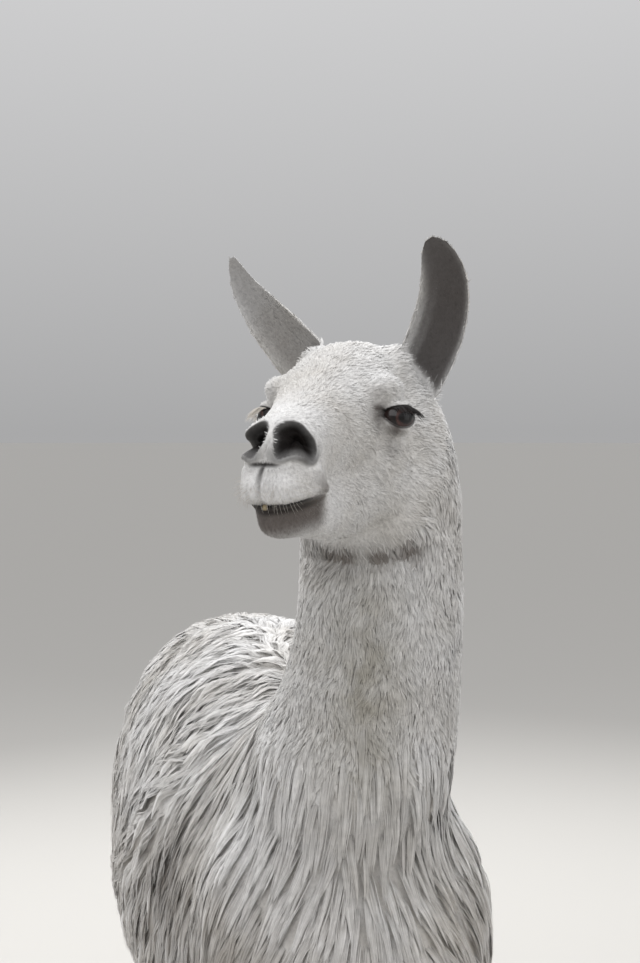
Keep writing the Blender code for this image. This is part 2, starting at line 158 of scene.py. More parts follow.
# ---------------------------------------------------------------- Hide
# The hide is the llama's one whole skin, from the nostrils to the toes. It lies inside the outline of the
# coat by the depth of the hair that grows there, and it carries the folds, lids, lips and nostrils.

NOT_FLESH = ("eye_", "nail_")
flesh_nodes = sorted(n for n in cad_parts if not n.startswith(NOT_FLESH))
NECK_SEAM = 1.240  # height where the finely made head is joined to the coarser body
SEAM_GAP = 0.030
HEAD_VOXEL = 0.0020
BODY_VOXEL = 0.0100
EAR_SPARE = 0.0014  # put on the thin ears while they are remeshed, and taken off with the coat's depth
BODY_DEPTHS = {  # of the coat over the skin, by the first word of a node's name
    "trunk": 0.020,
    "neck": 0.010,
    "tail": 0.012,
    "ear": 0.0020,
    "forearm": 0.009,
    "thigh": 0.012,
    "cannon": 0.0050,
    "foot": 0.0035,
}


def read(elements, key, width, kind=np.float32):
    """One property of all of a mesh's points, edges or triangles, as an array."""
    found = np.empty(len(elements) * width, kind)
    elements.foreach_get(key, found)
    return found.reshape(-1, width)


def coordinates(mesh):
    """The places of a mesh's points."""
    return read(mesh.vertices, "co", 3).astype(float)


def normals_of(mesh):
    """The outward direction at each point."""
    return read(mesh.vertices, "normal", 3).astype(float)


def edges_of(mesh):
    """The two ends of each edge."""
    return read(mesh.edges, "vertices", 2, np.int32)


def place_points(mesh, places):
    """Moves a mesh's points."""
    mesh.vertices.foreach_set("co", places.astype(np.float32).ravel())
    mesh.update()


def evened(field, ends, rounds, loose=None):
    """Values on the points, each drawn to the mean of its neighbours, as far as loose, 0 to 1, lets it."""
    flat = field.astype(float).reshape(len(field), -1)
    count = np.maximum(np.bincount(ends.ravel(), minlength=len(flat)), 1)[:, None]
    share = 0.5 if loose is None else 0.5 * loose[:, None]
    for _ in range(rounds):
        total = np.empty_like(flat)
        for k in range(flat.shape[1]):
            total[:, k] = np.bincount(ends[:, 0], flat[ends[:, 1], k], len(flat))
            total[:, k] += np.bincount(ends[:, 1], flat[ends[:, 0], k], len(flat))
        flat = flat + share * (total / count - flat)
    return flat.reshape(field.shape)


def smooth_step(low, high, value):
    """0 below low, 1 above high, and an even curve between."""
    t = np.clip((value - low) / (high - low), 0, 1)
    return t * t * (3 - 2 * t)


def bell(values, middle, reach):
    """1 at the middle, falling to 0 over the reach: for numbers, or for places with a reach each way."""
    gap = ((values - np.array(middle)) / reach) ** 2
    return np.exp(-(gap if gap.ndim == 1 else gap.sum(axis=1)))


def merged(nodes, voxel, relax):
    """One closed skin round the outline of these nodes."""
    whole = bmesh.new()
    for n in nodes:
        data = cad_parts[n].data.copy()
        if n.startswith("ear"):
            place_points(data, coordinates(data) + normals_of(data) * EAR_SPARE)
        whole.from_mesh(data)
    shell = bpy.data.objects.new("mass", as_mesh("mass", whole))
    bpy.context.scene.collection.objects.link(shell)
    remesh = shell.modifiers.new("remesh", "REMESH")
    remesh.mode = "VOXEL"
    remesh.voxel_size = voxel
    soften = shell.modifiers.new("soften", "SMOOTH")
    soften.factor = 0.5
    soften.iterations = relax
    graph = bpy.context.evaluated_depsgraph_get()
    made = bpy.data.meshes.new_from_object(shell.evaluated_get(graph), depsgraph=graph)
    bpy.data.objects.remove(shell)
    return made


def cut_level(mesh, height, above):
    """A bmesh of what lies above or below a level, with the level's edge loop left open."""
    cut = bmesh.new()
    cut.from_mesh(mesh)
    whole = [*cut.verts, *cut.edges, *cut.faces]
    level = {"plane_co": (0, 0, height), "plane_no": (0, 0, 1)}
    bmesh.ops.bisect_plane(cut, geom=whole, clear_inner=above, clear_outer=not above, **level)
    return cut


def joined_hide():
    """The head, finely made, bridged at the neck to the coarser body, as one closed skin."""
    head_nodes = ["head", "neck", "ear_left", "ear_right", "eye_left", "eye_right"]
    head = cut_level(merged(head_nodes, HEAD_VOXEL, 8), NECK_SEAM + SEAM_GAP / 2, above=True)
    body_nodes = [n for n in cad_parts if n.split("_")[0] not in ("ear", "eye")]
    body = cut_level(merged(body_nodes, BODY_VOXEL, 6), NECK_SEAM - SEAM_GAP / 2, above=False)
    body.from_mesh(as_mesh("head", head))
    bmesh.ops.bridge_loops(body, edges=[e for e in body.edges if e.is_boundary])
    bmesh.ops.triangulate(body, faces=[f for f in body.faces if len(f.verts) > 4])
    bmesh.ops.recalc_face_normals(body, faces=body.faces)
    return as_mesh("hide", body)


# The head's own axes: x to the llama's left, y from nose to poll, z up, from between the eyes.
EYE_SET = Vector((0.073, 0.008, -0.003))  # of the left eye's middle from the head's origin
eye_middles = {side: sum(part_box(f"eye_{side}"), Vector()) / 2 for side in ("left", "right")}
EYE_RADIUS = (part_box("eye_left")[1].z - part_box("eye_left")[0].z) / 2
MUZZLE_MIDDLE = (0, -0.12, -0.02)
head_across = (eye_middles["left"] - eye_middles["right"]).normalized()
NOD = math.radians(1)
head_back = Vector((-head_across.y, head_across.x, 0)) * math.cos(NOD) + Vector((0, 0, math.sin(NOD)))
head_axes = np.array([head_across, head_back, head_across.cross(head_back)])
head_origin = np.array((eye_middles["left"] + eye_middles["right"]) / 2)
head_origin = head_origin - np.array((0, EYE_SET.y, EYE_SET.z)) @ head_axes


def to_head(places):
    """Places in the head's own axes."""
    return (places - head_origin) @ head_axes.T


def from_head(places):
    """Places in the head's own axes, back in the model's."""
    return places @ head_axes + head_origin


def eye_place(side):
    """The middle of the left eye, side 1, or the right, side -1, in the head's axes."""
    return np.array((side * EYE_SET.x, EYE_SET.y, EYE_SET.z))


def mirrored(local):
    """Both sides of the head, laid on its left one."""
    return np.concatenate([np.abs(local[:, :1]), local[:, 1:]], axis=1)


def apart(places, place):
    """How far each place is from one."""
    return np.linalg.norm(places - np.array(place), axis=1)


def nodes_near(places):
    """The first word of the name of the flesh node nearest to each place."""
    points, faces, words = [], [], []
    for n in flesh_nodes:
        mesh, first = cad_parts[n].data, len(points)
        points.extend(v.co[:] for v in mesh.vertices)
        faces.extend([first + v for v in p.vertices] for p in mesh.polygons)
        words.extend([n.split("_")[0]] * len(mesh.polygons))
    tree = BVHTree.FromPolygons(points, faces)
    return np.array([words[tree.find_nearest(p)[2]] for p in places.tolist()])


def coat_depth(places, words):
    """How deep the skin lies under the coat's outline."""
    depth = np.array([BODY_DEPTHS.get(word, 0.0) for word in words])
    from_muzzle = apart(to_head(places), MUZZLE_MIDDLE)
    face = 0.0008 + 0.0028 * smooth_step(0.05, 0.13, from_muzzle)
    face = face + 0.0065 * smooth_step(0.20, 0.42, from_muzzle)
    depth = np.where(np.isin(words, ("head", "neck")), face, depth)
    above_sole = smooth_step(0.004, 0.030, places[:, 2])
    return depth * above_sole


def finer(mesh, wanted):
    """Cuts the edges whose two ends are both wanted, so that the mesh is twice as fine there."""
    fine = bmesh.new()
    fine.from_mesh(mesh)
    edges = [e for e in fine.edges if wanted[e.verts[0].index] and wanted[e.verts[1].index]]
    bmesh.ops.subdivide_edges(fine, edges=edges, cuts=1, use_grid_fill=True)
    bmesh.ops.triangulate(fine, faces=[f for f in fine.faces if len(f.verts) > 4])
    fine.to_mesh(mesh)
    fine.free()


hide_mesh = joined_hide()
hide_places = coordinates(hide_mesh)
hide_ends = edges_of(hide_mesh)
hide_words = nodes_near(hide_places)
in_ear = evened((hide_words == "ear").astype(float), hide_ends, 6)
local = to_head(hide_places)
face_share = smooth_step(0.20, 0.12, local[:, 1]) * smooth_step(-0.25, -0.18, local[:, 2]) * (1 - in_ear)
hide_places = evened(hide_places, hide_ends, 45, loose=np.maximum(face_share, 0.12 * (1 - in_ear)))
place_points(hide_mesh, hide_places)
depths = evened(coat_depth(hide_places, hide_words), hide_ends, 25)
hide_places = hide_places - normals_of(hide_mesh) * depths[:, None]
place_points(hide_mesh, hide_places)

for eye_reach, muzzle_back in ((0.037, -0.125), (0.030, -1.0)):  # the second cut leaves the muzzle alone
    local = to_head(coordinates(hide_mesh))
    near_eye = apart(mirrored(local), eye_place(1)) < eye_reach
    finer(hide_mesh, near_eye | ((local[:, 1] < muzzle_back) & (local[:, 2] > -0.15)))
hide_places = coordinates(hide_mesh)
hide_ends = edges_of(hide_mesh)
local = to_head(hide_places)
fine_share = ((local[:, 1] < 0.06) & (local[:, 2] > -0.15) & (local[:, 2] < 0.1)).astype(float)
hide_places = evened(hide_places, hide_ends, 6, loose=fine_share)
place_points(hide_mesh, hide_places)


def curve_through(points, per_span=6, closed=False):
    """Points read from a Catmull-Rom curve through the given ones."""
    points = np.array(points, float)
    if closed:
        ends = np.vstack([points[-1], points, points[:2]])
    else:
        ends = np.vstack([2 * points[0] - points[1], points, 2 * points[-1] - points[-2]])
    made = []
    for a, b, c, d in zip(ends, ends[1:], ends[2:], ends[3:]):
        for t in np.arange(per_span) / per_span:
            cubic = (2 * a - 5 * b + 4 * c - d) * t**2 + (3 * (b - c) + d - a) * t**3
            made.append(0.5 * (2 * b + (c - a) * t + cubic))
    return np.array(made if closed else [*made, points[-1]])


def depth_inside(places, outline):
    """How far inside a closed outline each flat place lies, and below 0 how far outside."""
    nearest = np.full(len(places), np.inf)
    inside = np.zeros(len(places), bool)
    for start, end in zip(outline, np.roll(outline, -1, axis=0)):
        way = end - start
        t = np.clip((places - start) @ way / (way @ way), 0, 1)
        nearest = np.minimum(nearest, np.linalg.norm(places - start - t[:, None] * way, axis=1))
        crosses = (start[1] > places[:, 1]) != (end[1] > places[:, 1])
        with np.errstate(divide="ignore", invalid="ignore"):
            at = start[0] + (places[:, 1] - start[1]) * way[0] / way[1]
        inside ^= crosses & (places[:, 0] < at)
    return np.where(inside, nearest, -nearest)


# The middle of the muzzle, which the llama holds a little askew: how far right it lies at each height.
ASKEW_HEIGHTS = [-0.100, -0.059, -0.049, -0.044, -0.034, -0.024, -0.010, 0.010]
ASKEW = [0.0100, 0.0100, 0.0070, 0.0050, 0.0020, -0.0025, -0.0030, 0.0]


def from_middle(local):
    """How far left of the muzzle's own middle line each place is."""
    ahead = smooth_step(-0.08, -0.15, local[:, 1])
    return local[:, 0] + np.interp(local[:, 2], ASKEW_HEIGHTS, ASKEW) * ahead


NOSTRIL_TOP = [(-0.0265, 0.0110), (-0.0190, 0.0190), (-0.0080, 0.0220), (0.0030, 0.0195), (0.0110, 0.0110)]
NOSTRIL_TAIL = [(0.0200, 0.0005), (0.0255, -0.0090), (0.0235, -0.0175), (0.0180, -0.0180)]
NOSTRIL_BOTTOM = [(0.0080, -0.0135), (-0.0040, -0.0120), (-0.0165, -0.0155), (-0.0235, -0.0060)]
NOSTRIL = curve_through(NOSTRIL_TOP + NOSTRIL_TAIL + NOSTRIL_BOTTOM, closed=True)
NOSTRIL_MIDDLE = (-0.067, -0.027)
NOSTRIL_TURN = math.radians(30)  # the way its opening faces, out from straight ahead
NOSTRIL_FLOOR = (0.0150, -0.1480, -0.0250)  # the deepest place, in the head's axes
NOSTRIL_WALL = 0.0030
NOSTRIL_RIM = 0.0022  # how high its edge stands


def nostril_depth(local):
    """How far inside a nostril's opening each place on the muzzle is, and the side it belongs to."""
    side = np.where(from_middle(local) > 0, 1.0, -1.0)
    out = np.abs(from_middle(local))
    flat_out = out * math.cos(NOSTRIL_TURN) + local[:, 1] * math.sin(NOSTRIL_TURN) - NOSTRIL_MIDDLE[0]
    inside = depth_inside(np.stack([flat_out, local[:, 2] - NOSTRIL_MIDDLE[1]], axis=1), NOSTRIL)
    inside[local[:, 1] > -0.12] = -1
    return inside, side


MOUTH_AROUND = [0.0, 0.014, 0.029, 0.050, 0.073, 0.108]  # along the lips from their middle
MOUTH_HEIGHTS = [-0.0885, -0.0920, -0.0900, -0.0866, -0.0834, -0.0790]
MOUTH_FRONT = -0.192


def from_mouth(local):
    """How far along the mouth each place is from its middle, and how far above the parting of the lips."""
    around = np.abs(from_middle(local)) + np.maximum(local[:, 1] - MOUTH_FRONT, 0)
    above = local[:, 2] - np.interp(around, MOUTH_AROUND, MOUTH_HEIGHTS)
    return around, above


LID_MIDDLE, LID_HALF = math.radians(-9), math.radians(73)  # the opening's angles round the eye
LID_LEVEL, LID_RISE, LID_FALL = math.radians(9), math.radians(27), math.radians(37)
EYE_TURN = math.radians(57)  # of the eye's own axis, out from straight ahead
LID_THICKNESS = 0.0016
LID_FOLD, LID_PUFF = 0.0022, 0.0012  # how deep the fold over the lid is, and how full the lid under it
BEHIND_FRONT = 0.0032  # how far behind the eyeball's front the hide runs, where the lids are open


def eye_axes(side):
    """The eye's own axes, in the head's: ahead, towards the outer corner, and up."""
    s, c = math.sin(EYE_TURN), math.cos(EYE_TURN)
    return np.array([(side * s, -c, 0), (side * c, s, 0), (0, 0, 1)])


def from_lids(local, side):
    """Distance from the eye's middle, and how far inside the lids' opening each place is, as an angle."""
    spoke = local - eye_place(side)
    distance = np.maximum(np.linalg.norm(spoke, axis=1), 1e-6)
    ahead, outer, up = (spoke / distance[:, None] @ eye_axes(side).T).T
    along = (np.arctan2(outer, ahead) - LID_MIDDLE) / LID_HALF
    level = np.arcsin(np.clip(up, -1, 1)) - LID_LEVEL
    span = np.clip(1 - np.abs(along) ** 2.2, 0, None)
    top, bottom = LID_RISE * span**0.55, -LID_FALL * span**1.15
    inside = np.minimum(top - level, level - bottom)
    beyond = (np.abs(along) - 1) * LID_HALF
    inside = np.where(beyond > 0, -np.hypot(beyond, level), inside)
    return distance, inside, level, along


SWELLINGS = [
    # where on the left of the head, how far it reaches each way, and how high it stands
    ((0.034, -0.160, -0.056), (0.014, 0.024, 0.009), 0.0050),  # between nostril and lip
    ((0.016, -0.190, -0.070), (0.012, 0.014, 0.012), 0.0036),  # lobe of the upper lip
    ((0.040, -0.140, -0.076), (0.014, 0.022, 0.010), 0.0020),  # corner of the lip
    ((0.000, -0.165, -0.116), (0.026, 0.020, 0.012), 0.0015),  # chin
    ((0.050, -0.085, -0.050), (0.020, 0.034, 0.022), -0.0035),  # hollow before the cheek
    ((0.066, -0.020, -0.052), (0.024, 0.034, 0.016), 0.0030),  # cheekbone under the eye
    ((0.062, 0.030, -0.092), (0.024, 0.040, 0.026), 0.0035),  # jaw muscle
    ((0.066, -0.040, 0.004), (0.020, 0.014, 0.012), -0.0040),  # hollow before the eye
    ((0.070, -0.004, 0.034), (0.020, 0.030, 0.010), 0.0045),  # brow
    ((0.074, 0.046, 0.004), (0.016, 0.020, 0.020), -0.0030),  # hollow behind the eye
    ((0.020, -0.100, 0.018), (0.012, 0.050, 0.014), 0.0012),  # edge of the nose bridge
    ((0.000, 0.000, 0.074), (0.020, 0.040, 0.016), -0.0020),  # dip of the forehead
    ((0.018, 0.022, -0.166), (0.026, 0.018, 0.011), -0.0065),  # fold under the jaw, from its middle
    ((0.060, 0.028, -0.163), (0.022, 0.018, 0.012), -0.0070),
    ((0.092, 0.046, -0.149), (0.018, 0.018, 0.015), -0.0070),
    ((0.112, 0.072, -0.122), (0.018, 0.018, 0.022), -0.0050),  # and up behind the cheek
    ((0.086, 0.022, -0.132), (0.024, 0.026, 0.018), 0.0030),  # angle of the jaw
]


def swollen(places, outward):
    """Raises and sinks the broad forms of the face."""
    local = to_head(places)
    rise = np.zeros(len(local))
    for centre, reach, height in SWELLINGS:
        for side in (1, -1) if centre[0] else (1,):
            rise += height * bell(local, (side * centre[0], *centre[1:]), reach)
    return places + outward * rise[:, None]


def opened_nostrils(local, outward):
    """Raises each nostril's rim and sinks its opening."""
    inside, side = nostril_depth(local)
    rim = NOSTRIL_RIM * bell(inside, -0.0028, 0.0030)
    local = local + outward * rim[:, None]
    floor = side[:, None] * (NOSTRIL_FLOOR[0], 0, 0) + (-0.002, *NOSTRIL_FLOOR[1:])
    sink = 0.45 * smooth_step(0, NOSTRIL_WALL, inside) + 0.40 * smooth_step(0.001, 0.012, inside)
    return np.where(inside[:, None] > 0, local + (floor - local) * sink[:, None], local)


def parted_lips(local, _):
    """Presses in the parting of the lips and the upper one's groove, and lets the upper one overhang."""
    around, above = from_mouth(local)
    inward = np.stack([-from_middle(local), -0.125 - local[:, 1], np.zeros(len(local))], axis=1)
    inward /= np.maximum(np.linalg.norm(inward, axis=1), 1e-6)[:, None]
    in_reach = smooth_step(0.114, 0.098, around) * (local[:, 1] < -0.10)
    crease = (0.0075 - 0.0030 * smooth_step(0.02, 0.09, around)) * bell(above, 0, 0.0023)
    upper = -0.0022 * bell(above, 0.0065, 0.0045)
    lower = 0.0016 * bell(above, -0.0075, 0.0050) * smooth_step(0.07, 0.03, around)
    middle, height, in_front = np.abs(from_middle(local)), local[:, 2], local[:, 1] < -0.15
    groove = smooth_step(-0.094, -0.086, height) * smooth_step(-0.042, -0.052, height)
    groove = 0.0042 * bell(middle, 0, 0.0022) * groove
    nose_line = 0.0030 * bell(height, -0.0490, 0.0022) * smooth_step(0.030, 0.010, middle)
    pressed = (crease + upper + lower) * in_reach + (groove + nose_line) * in_front
    return local + inward * pressed[:, None]


def lidded(local, _):
    """Wraps the lids round each eyeball, opens them, presses the fold above them and fills the lids out."""
    for side in (1, -1):
        distance, inside, level, along = from_lids(local, side)
        inside, along = np.degrees(inside), np.abs(along)
        near = (distance < 0.036) & (local[:, 0] * side > 0.045)
        lid = EYE_RADIUS + LID_THICKNESS
        wrapped = np.maximum(distance, lid)
        wrapped += (lid - wrapped) * smooth_step(-34, -6, inside) * smooth_step(1.25, 0.95, along)
        wrapped -= LID_FOLD * bell(inside, -27, 4.5) * (level > 0) * (along < 1.2)
        wrapped += LID_PUFF * bell(inside, -15, 8) * (along < 1.15)
        wrapped += (EYE_RADIUS - BEHIND_FRONT - wrapped) * smooth_step(0, 2.5, inside)
        moved = eye_place(side) + (local - eye_place(side)) * (wrapped / distance)[:, None]
        local = np.where(near[:, None], moved, local)
    return local


def cleaned(mesh):
    """Takes out slivers, loose points and whatever isn't joined to the rest."""
    whole = bmesh.new()
    whole.from_mesh(mesh)
    bmesh.ops.dissolve_degenerate(whole, dist=2e-5, edges=whole.edges)
    left, kept = set(whole.verts), set()
    while left:
        front = [left.pop()]
        part = set(front)
        while front:
            point = front.pop()
            found = {edge.other_vert(point) for edge in point.link_edges} & left
            left -= found
            part |= found
            front.extend(found)
        kept = max(kept, part, key=len)
    bmesh.ops.delete(whole, geom=[v for v in whole.verts if v not in kept], context="VERTS")
    bmesh.ops.delete(whole, geom=[e for e in whole.edges if not e.link_faces], context="EDGES")
    bmesh.ops.triangulate(whole, faces=[f for f in whole.faces if len(f.verts) > 4])
    whole.to_mesh(mesh)
    whole.free()


place_points(hide_mesh, swollen(coordinates(hide_mesh), normals_of(hide_mesh)))
for shaped in (lidded, parted_lips, opened_nostrils):
    local = shaped(to_head(coordinates(hide_mesh)), normals_of(hide_mesh) @ head_axes.T)
    place_points(hide_mesh, from_head(local))
cleaned(hide_mesh)


INNER_CORNER = (0.0615, -0.0240, 0.0080)  # the near end of the shade before the eye
HEAD_SPOTS = [
    # the marking, how strong, where on the left of the head, and how far it reaches each way
    ("mark_tear", 1.0, (0.0640, -0.0220, -0.0020), (0.012, 0.013, 0.014)),  # where tears run
    ("mark_tear", 1.0, (0.0790, -0.0110, -0.0150), (0.012, 0.013, 0.014)),
    ("mark_tear", 1.0, (0.0780, -0.0100, -0.0330), (0.012, 0.013, 0.014)),
    # painted shade at the eye's inner corner
    ("mark_tear", 1.1, INNER_CORNER, (0.0080, 0.0080, 0.0062)),
    ("mark_tear", 1.1, (0.0650, -0.0150, 0.0045), (0.0080, 0.0080, 0.0062)),
    ("mark_tear", 1.1, (0.0680, -0.0105, -0.0015), (0.0080, 0.0080, 0.0062)),
    ("mark_tear", 0.42, (0.0600, -0.0240, 0.0230), (0.013, 0.011, 0.010)),  # painted shadow cast by the brow over the eye
    ("mark_lip", 0.75, (0.044, -0.146, -0.074), (0.014, 0.022, 0.013)),  # corner of the upper lip
    ("mark_hollow", 1.12, (0.010, 0.018, -0.166), (0.022, 0.022, 0.014)),  # painted shade under the jaw
    ("mark_hollow", 1.12, (0.050, 0.022, -0.165), (0.022, 0.022, 0.014)),
    ("mark_hollow", 1.12, (0.080, 0.036, -0.159), (0.022, 0.022, 0.014)),
]
BODY_SPOTS = [
    ("mark_dirt", 1.0, (-0.006, -0.51, 1.135), (0.044, 0.100, 0.145)),  # tan patch down the neck's front
    ("mark_dirt", 0.9, (-0.022, -0.52, 1.025), (0.016, 0.060, 0.014)),
    ("mark_hollow", 1.0, (-0.20, -0.235, 0.825), (0.060, 0.050, 0.050)),  # painted shade in the hollow behind the right shoulder
]


def markings(places, outward, ears):
    """How far each marking of the llama's coat and skin, painted shade among them, holds at each point of the
    hide, from 0 to 1.
    """
    local = to_head(places)
    on_left = mirrored(local)
    inside, _ = nostril_depth(local)
    around, above = from_mouth(local)
    middle, height = np.abs(from_middle(local)), local[:, 2]
    on_muzzle = smooth_step(-0.10, -0.125, local[:, 1]) * smooth_step(-0.16, -0.14, height)
    # Dark bare skin of the nostrils, lips and lids' rims, with painted shade deep in the nostrils and in the
    # creases of the lips' parting, the upper lip's groove and the line under the nose.
    opening = smooth_step(-0.0022, 0.0004, inside) * (0.87 + 0.13 * smooth_step(0.001, 0.008, inside))
    pad = 0.85 * smooth_step(-0.0085, -0.0030, inside) * bell(local[:, 1:], (-0.17, -0.043), (0.04, 0.012))
    parting = bell(above, 0, 0.0026) * smooth_step(0.108, 0.050, around)
    wet_lip = 0.85 * bell(above, -0.0060, 0.0050) * smooth_step(0.108, 0.060, around)
    groove = smooth_step(-0.080, -0.052, height) * smooth_step(-0.042, -0.048, height) * (local[:, 1] < -0.15)
    groove = 0.8 * bell(middle, 0, 0.0026) * groove
    nose_line = 0.9 * bell(height, -0.0485, 0.0030) * smooth_step(0.024, 0.008, middle)
    dark = np.maximum.reduce([opening, pad, parting, wet_lip, groove, nose_line]) * on_muzzle
    for side in (1, -1):
        distance, opened, level, along = from_lids(local, side)
        opened = np.degrees(opened)
        rim = smooth_step(-7.5, -2.5, opened) * (1 - 0.25 * (level < 0)) * smooth_step(0.029, 0.025, distance)
        # painted shade in the fold over the upper lid
        fold = bell(opened, -24, 4.5) * (level > 0) * smooth_step(0.044, 0.036, distance)
        fold = 0.95 * fold * smooth_step(-0.1, 0.5, along) * smooth_step(1.35, 1.05, along)
        dark = np.maximum(dark, np.maximum(rim, fold) * (local[:, 0] * side > 0.04))
    # the lower lip and chin: their brown-grey skin, darkened with painted shade under the upper lip
    lip = smooth_step(0.003, -0.004, above) * smooth_step(-0.052, -0.020, above)
    # painted shade in each ear's cup, where it faces forward, deeper in the left ear than the right
    ear_faces = np.where(local[:, :1] > 0, (0.10, -0.99, 0), (-0.14, -0.99, 0))
    cup_shade = smooth_step(0.20, 0.97, (outward @ head_axes.T * ear_faces).sum(axis=1)) * ears
    found = {
        "mark_ear_cup_shade": cup_shade * np.where(local[:, 0] > 0, 1.0, 0.55),
        # darker grey-brown low down and where the coat faces down: dust on the lower wool, with painted shade
        "mark_dust_and_shade": smooth_step(1.04, 0.78, places[:, 2] + 0.10 * smooth_step(-0.2, 0.8, outward[:, 2])),
        "mark_dark_skin_and_shade": dark,
        "mark_lip": lip * smooth_step(0.128, 0.095, around),
        **{mark: np.zeros(len(local)) for mark in ("mark_tear", "mark_dirt", "mark_hollow")},
    }
    for mark, amount, centre, reach in HEAD_SPOTS:
        found[mark] = np.maximum(found[mark], amount * bell(on_left, centre, reach))
    for mark, amount, centre, reach in BODY_SPOTS:
        found[mark] = np.maximum(found[mark], amount * bell(places, centre, reach))
    found["mark_lip"] *= on_muzzle
    return found


def add_marks(mesh, marks):
    """Stores each marking on the points of a mesh."""
    for name, amount in marks.items():
        mesh.attributes.new(name, "FLOAT", "POINT").data.foreach_set("value", amount.astype(np.float32))


def marked(material, colour, name, hex_colour, amount, blotches):
    """Lays one marking over a colour where the points say it holds, broken up where blotches are given."""
    mark = add_node(material, "Attribute", attribute_name=name).outputs["Fac"]
    held = add_node(material, "Math", {0: mark, 1: amount}, operation="MULTIPLY")
    if blotches:
        held = add_node(material, "Math", {0: held, 1: blotches}, operation="MULTIPLY")
    laid = add_node(material, "Mix", {"Factor": held, "A": colour, "B": linear(hex_colour)}, data_type="RGBA")
    return laid.outputs["Result"]


MARK_TONES = {  # each marking's colour, how much of it shows, and whether it lies in blotches; all but the dirt carry painted shade
    "mark_dirt": ("#8E866F", 0.62, True),
    "mark_dust_and_shade": ("#A0978B", 0.60, True),
    "mark_tear": ("#453B35", 0.84, False),
    "mark_hollow": ("#5A4F45", 0.80, False),
    "mark_ear_cup_shade": ("#393331", 0.92, False),
    "mark_lip": ("#4C4038", 0.88, False),
    "mark_dark_skin_and_shade": ("#16110F", 1.00, False),
}


def hair_colour(material, broad, fine):
    """White wool, yellowed in patches, with the llama's markings and painted shade: the same on skin and
    coat.
    """
    place = add_node(material, "TexCoord").outputs["Object"]
    patches = add_node(material, "TexNoise", {"Scale": broad, "Detail": 4.0, "Vector": place})
    spots = add_node(material, "TexNoise", {"Scale": fine, "Detail": 2.0, "Vector": place})
    base = add_node(material, "ValToRGB", {"Fac": patches})
    for stop, position, tone in zip(base.color_ramp.elements, (0.30, 0.62), ("#D3CFC9", "#EBEAE9")):
        stop.position = position
        stop.color = linear(tone)
    speck = add_node(material, "MapRange", {0: spots, 1: 0.35, 2: 0.65, 3: 0.88, 4: 1.04})
    colour = add_node(material, "VectorMath", {"Vector": base, "Scale": speck}, operation="SCALE")
    grime = add_node(material, "TexNoise", {"Scale": 38.0, "Detail": 3.0, "Vector": place})
    blotches = add_node(material, "MapRange", {0: grime, 1: 0.38, 2: 0.60, 3: 0.60, 4: 1.0})
    for name, (tone, amount, is_blotched) in MARK_TONES.items():
        colour = marked(material, colour, name, tone, amount, blotches if is_blotched else None)
    return colour


def skin_and_down():
    """Hide under short down: it gives the eye a matt, faintly grained white, and dark skin where bare, with
    painted shade in its creases.
    """
    made, shader = new_material("llama hide, skin under short down")
    colour = hair_colour(made, broad=9.0, fine=260.0)
    place = add_node(made, "TexCoord").outputs["Object"]
    bare = add_node(made, "Attribute", attribute_name="mark_dark_skin_and_shade").outputs["Fac"]
    damp = add_node(made, "MapRange", {0: bare, 3: 0.85, 4: 0.60})
    down = add_node(made, "TexNoise", {"Scale": 700.0, "Detail": 3.0, "Vector": place})
    bump = add_node(made, "Bump", {"Strength": 0.5, "Distance": 0.001, "Height": down})
    feed(shader, {"Base Color": colour, "Roughness": damp, "Normal": bump})
    feed(shader, {"Sheen Weight": 0.03, "Sheen Roughness": 0.5, "Specular IOR Level": 0.2})
    return made


hide_places = coordinates(hide_mesh)
hide_normals = normals_of(hide_mesh)
hide_ends = edges_of(hide_mesh)
hide_words = nodes_near(hide_places)


def region(*words, rounds=10):
    """1 on the parts of the hide with these names and 0 elsewhere, with a soft edge."""
    return evened(np.isin(hide_words, words).astype(float), hide_ends, rounds)


hide_marks = markings(hide_places, hide_normals, region("ear"))
add_marks(hide_mesh, hide_marks)
hide = add_piece("hide", hide_mesh, skin_and_down())
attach(hide, "root")
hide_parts(*flesh_nodes)


# ---------------------------------------------------------------- Eyes
# Each eye is a wet ball, its clear front a little domed over a dark reddish-brown iris. The pupil is a
# broad level slot, as a grazing animal has.

IRIS_SHARE = 0.66  # of the ball's radius
DOME = 0.05
PUPIL = (0.54, 0.32)  # half its length and half its height, in the ball's radii
IRIS_TONES = [(0.30, "#1E1310"), (IRIS_SHARE - 0.08, "#5C3D38")]  # out from the middle, in radii
RIM_TONES = [(IRIS_SHARE, "#120B0A"), (IRIS_SHARE + 0.07, "#1C1413"), (0.95, "#3A2C2A")]


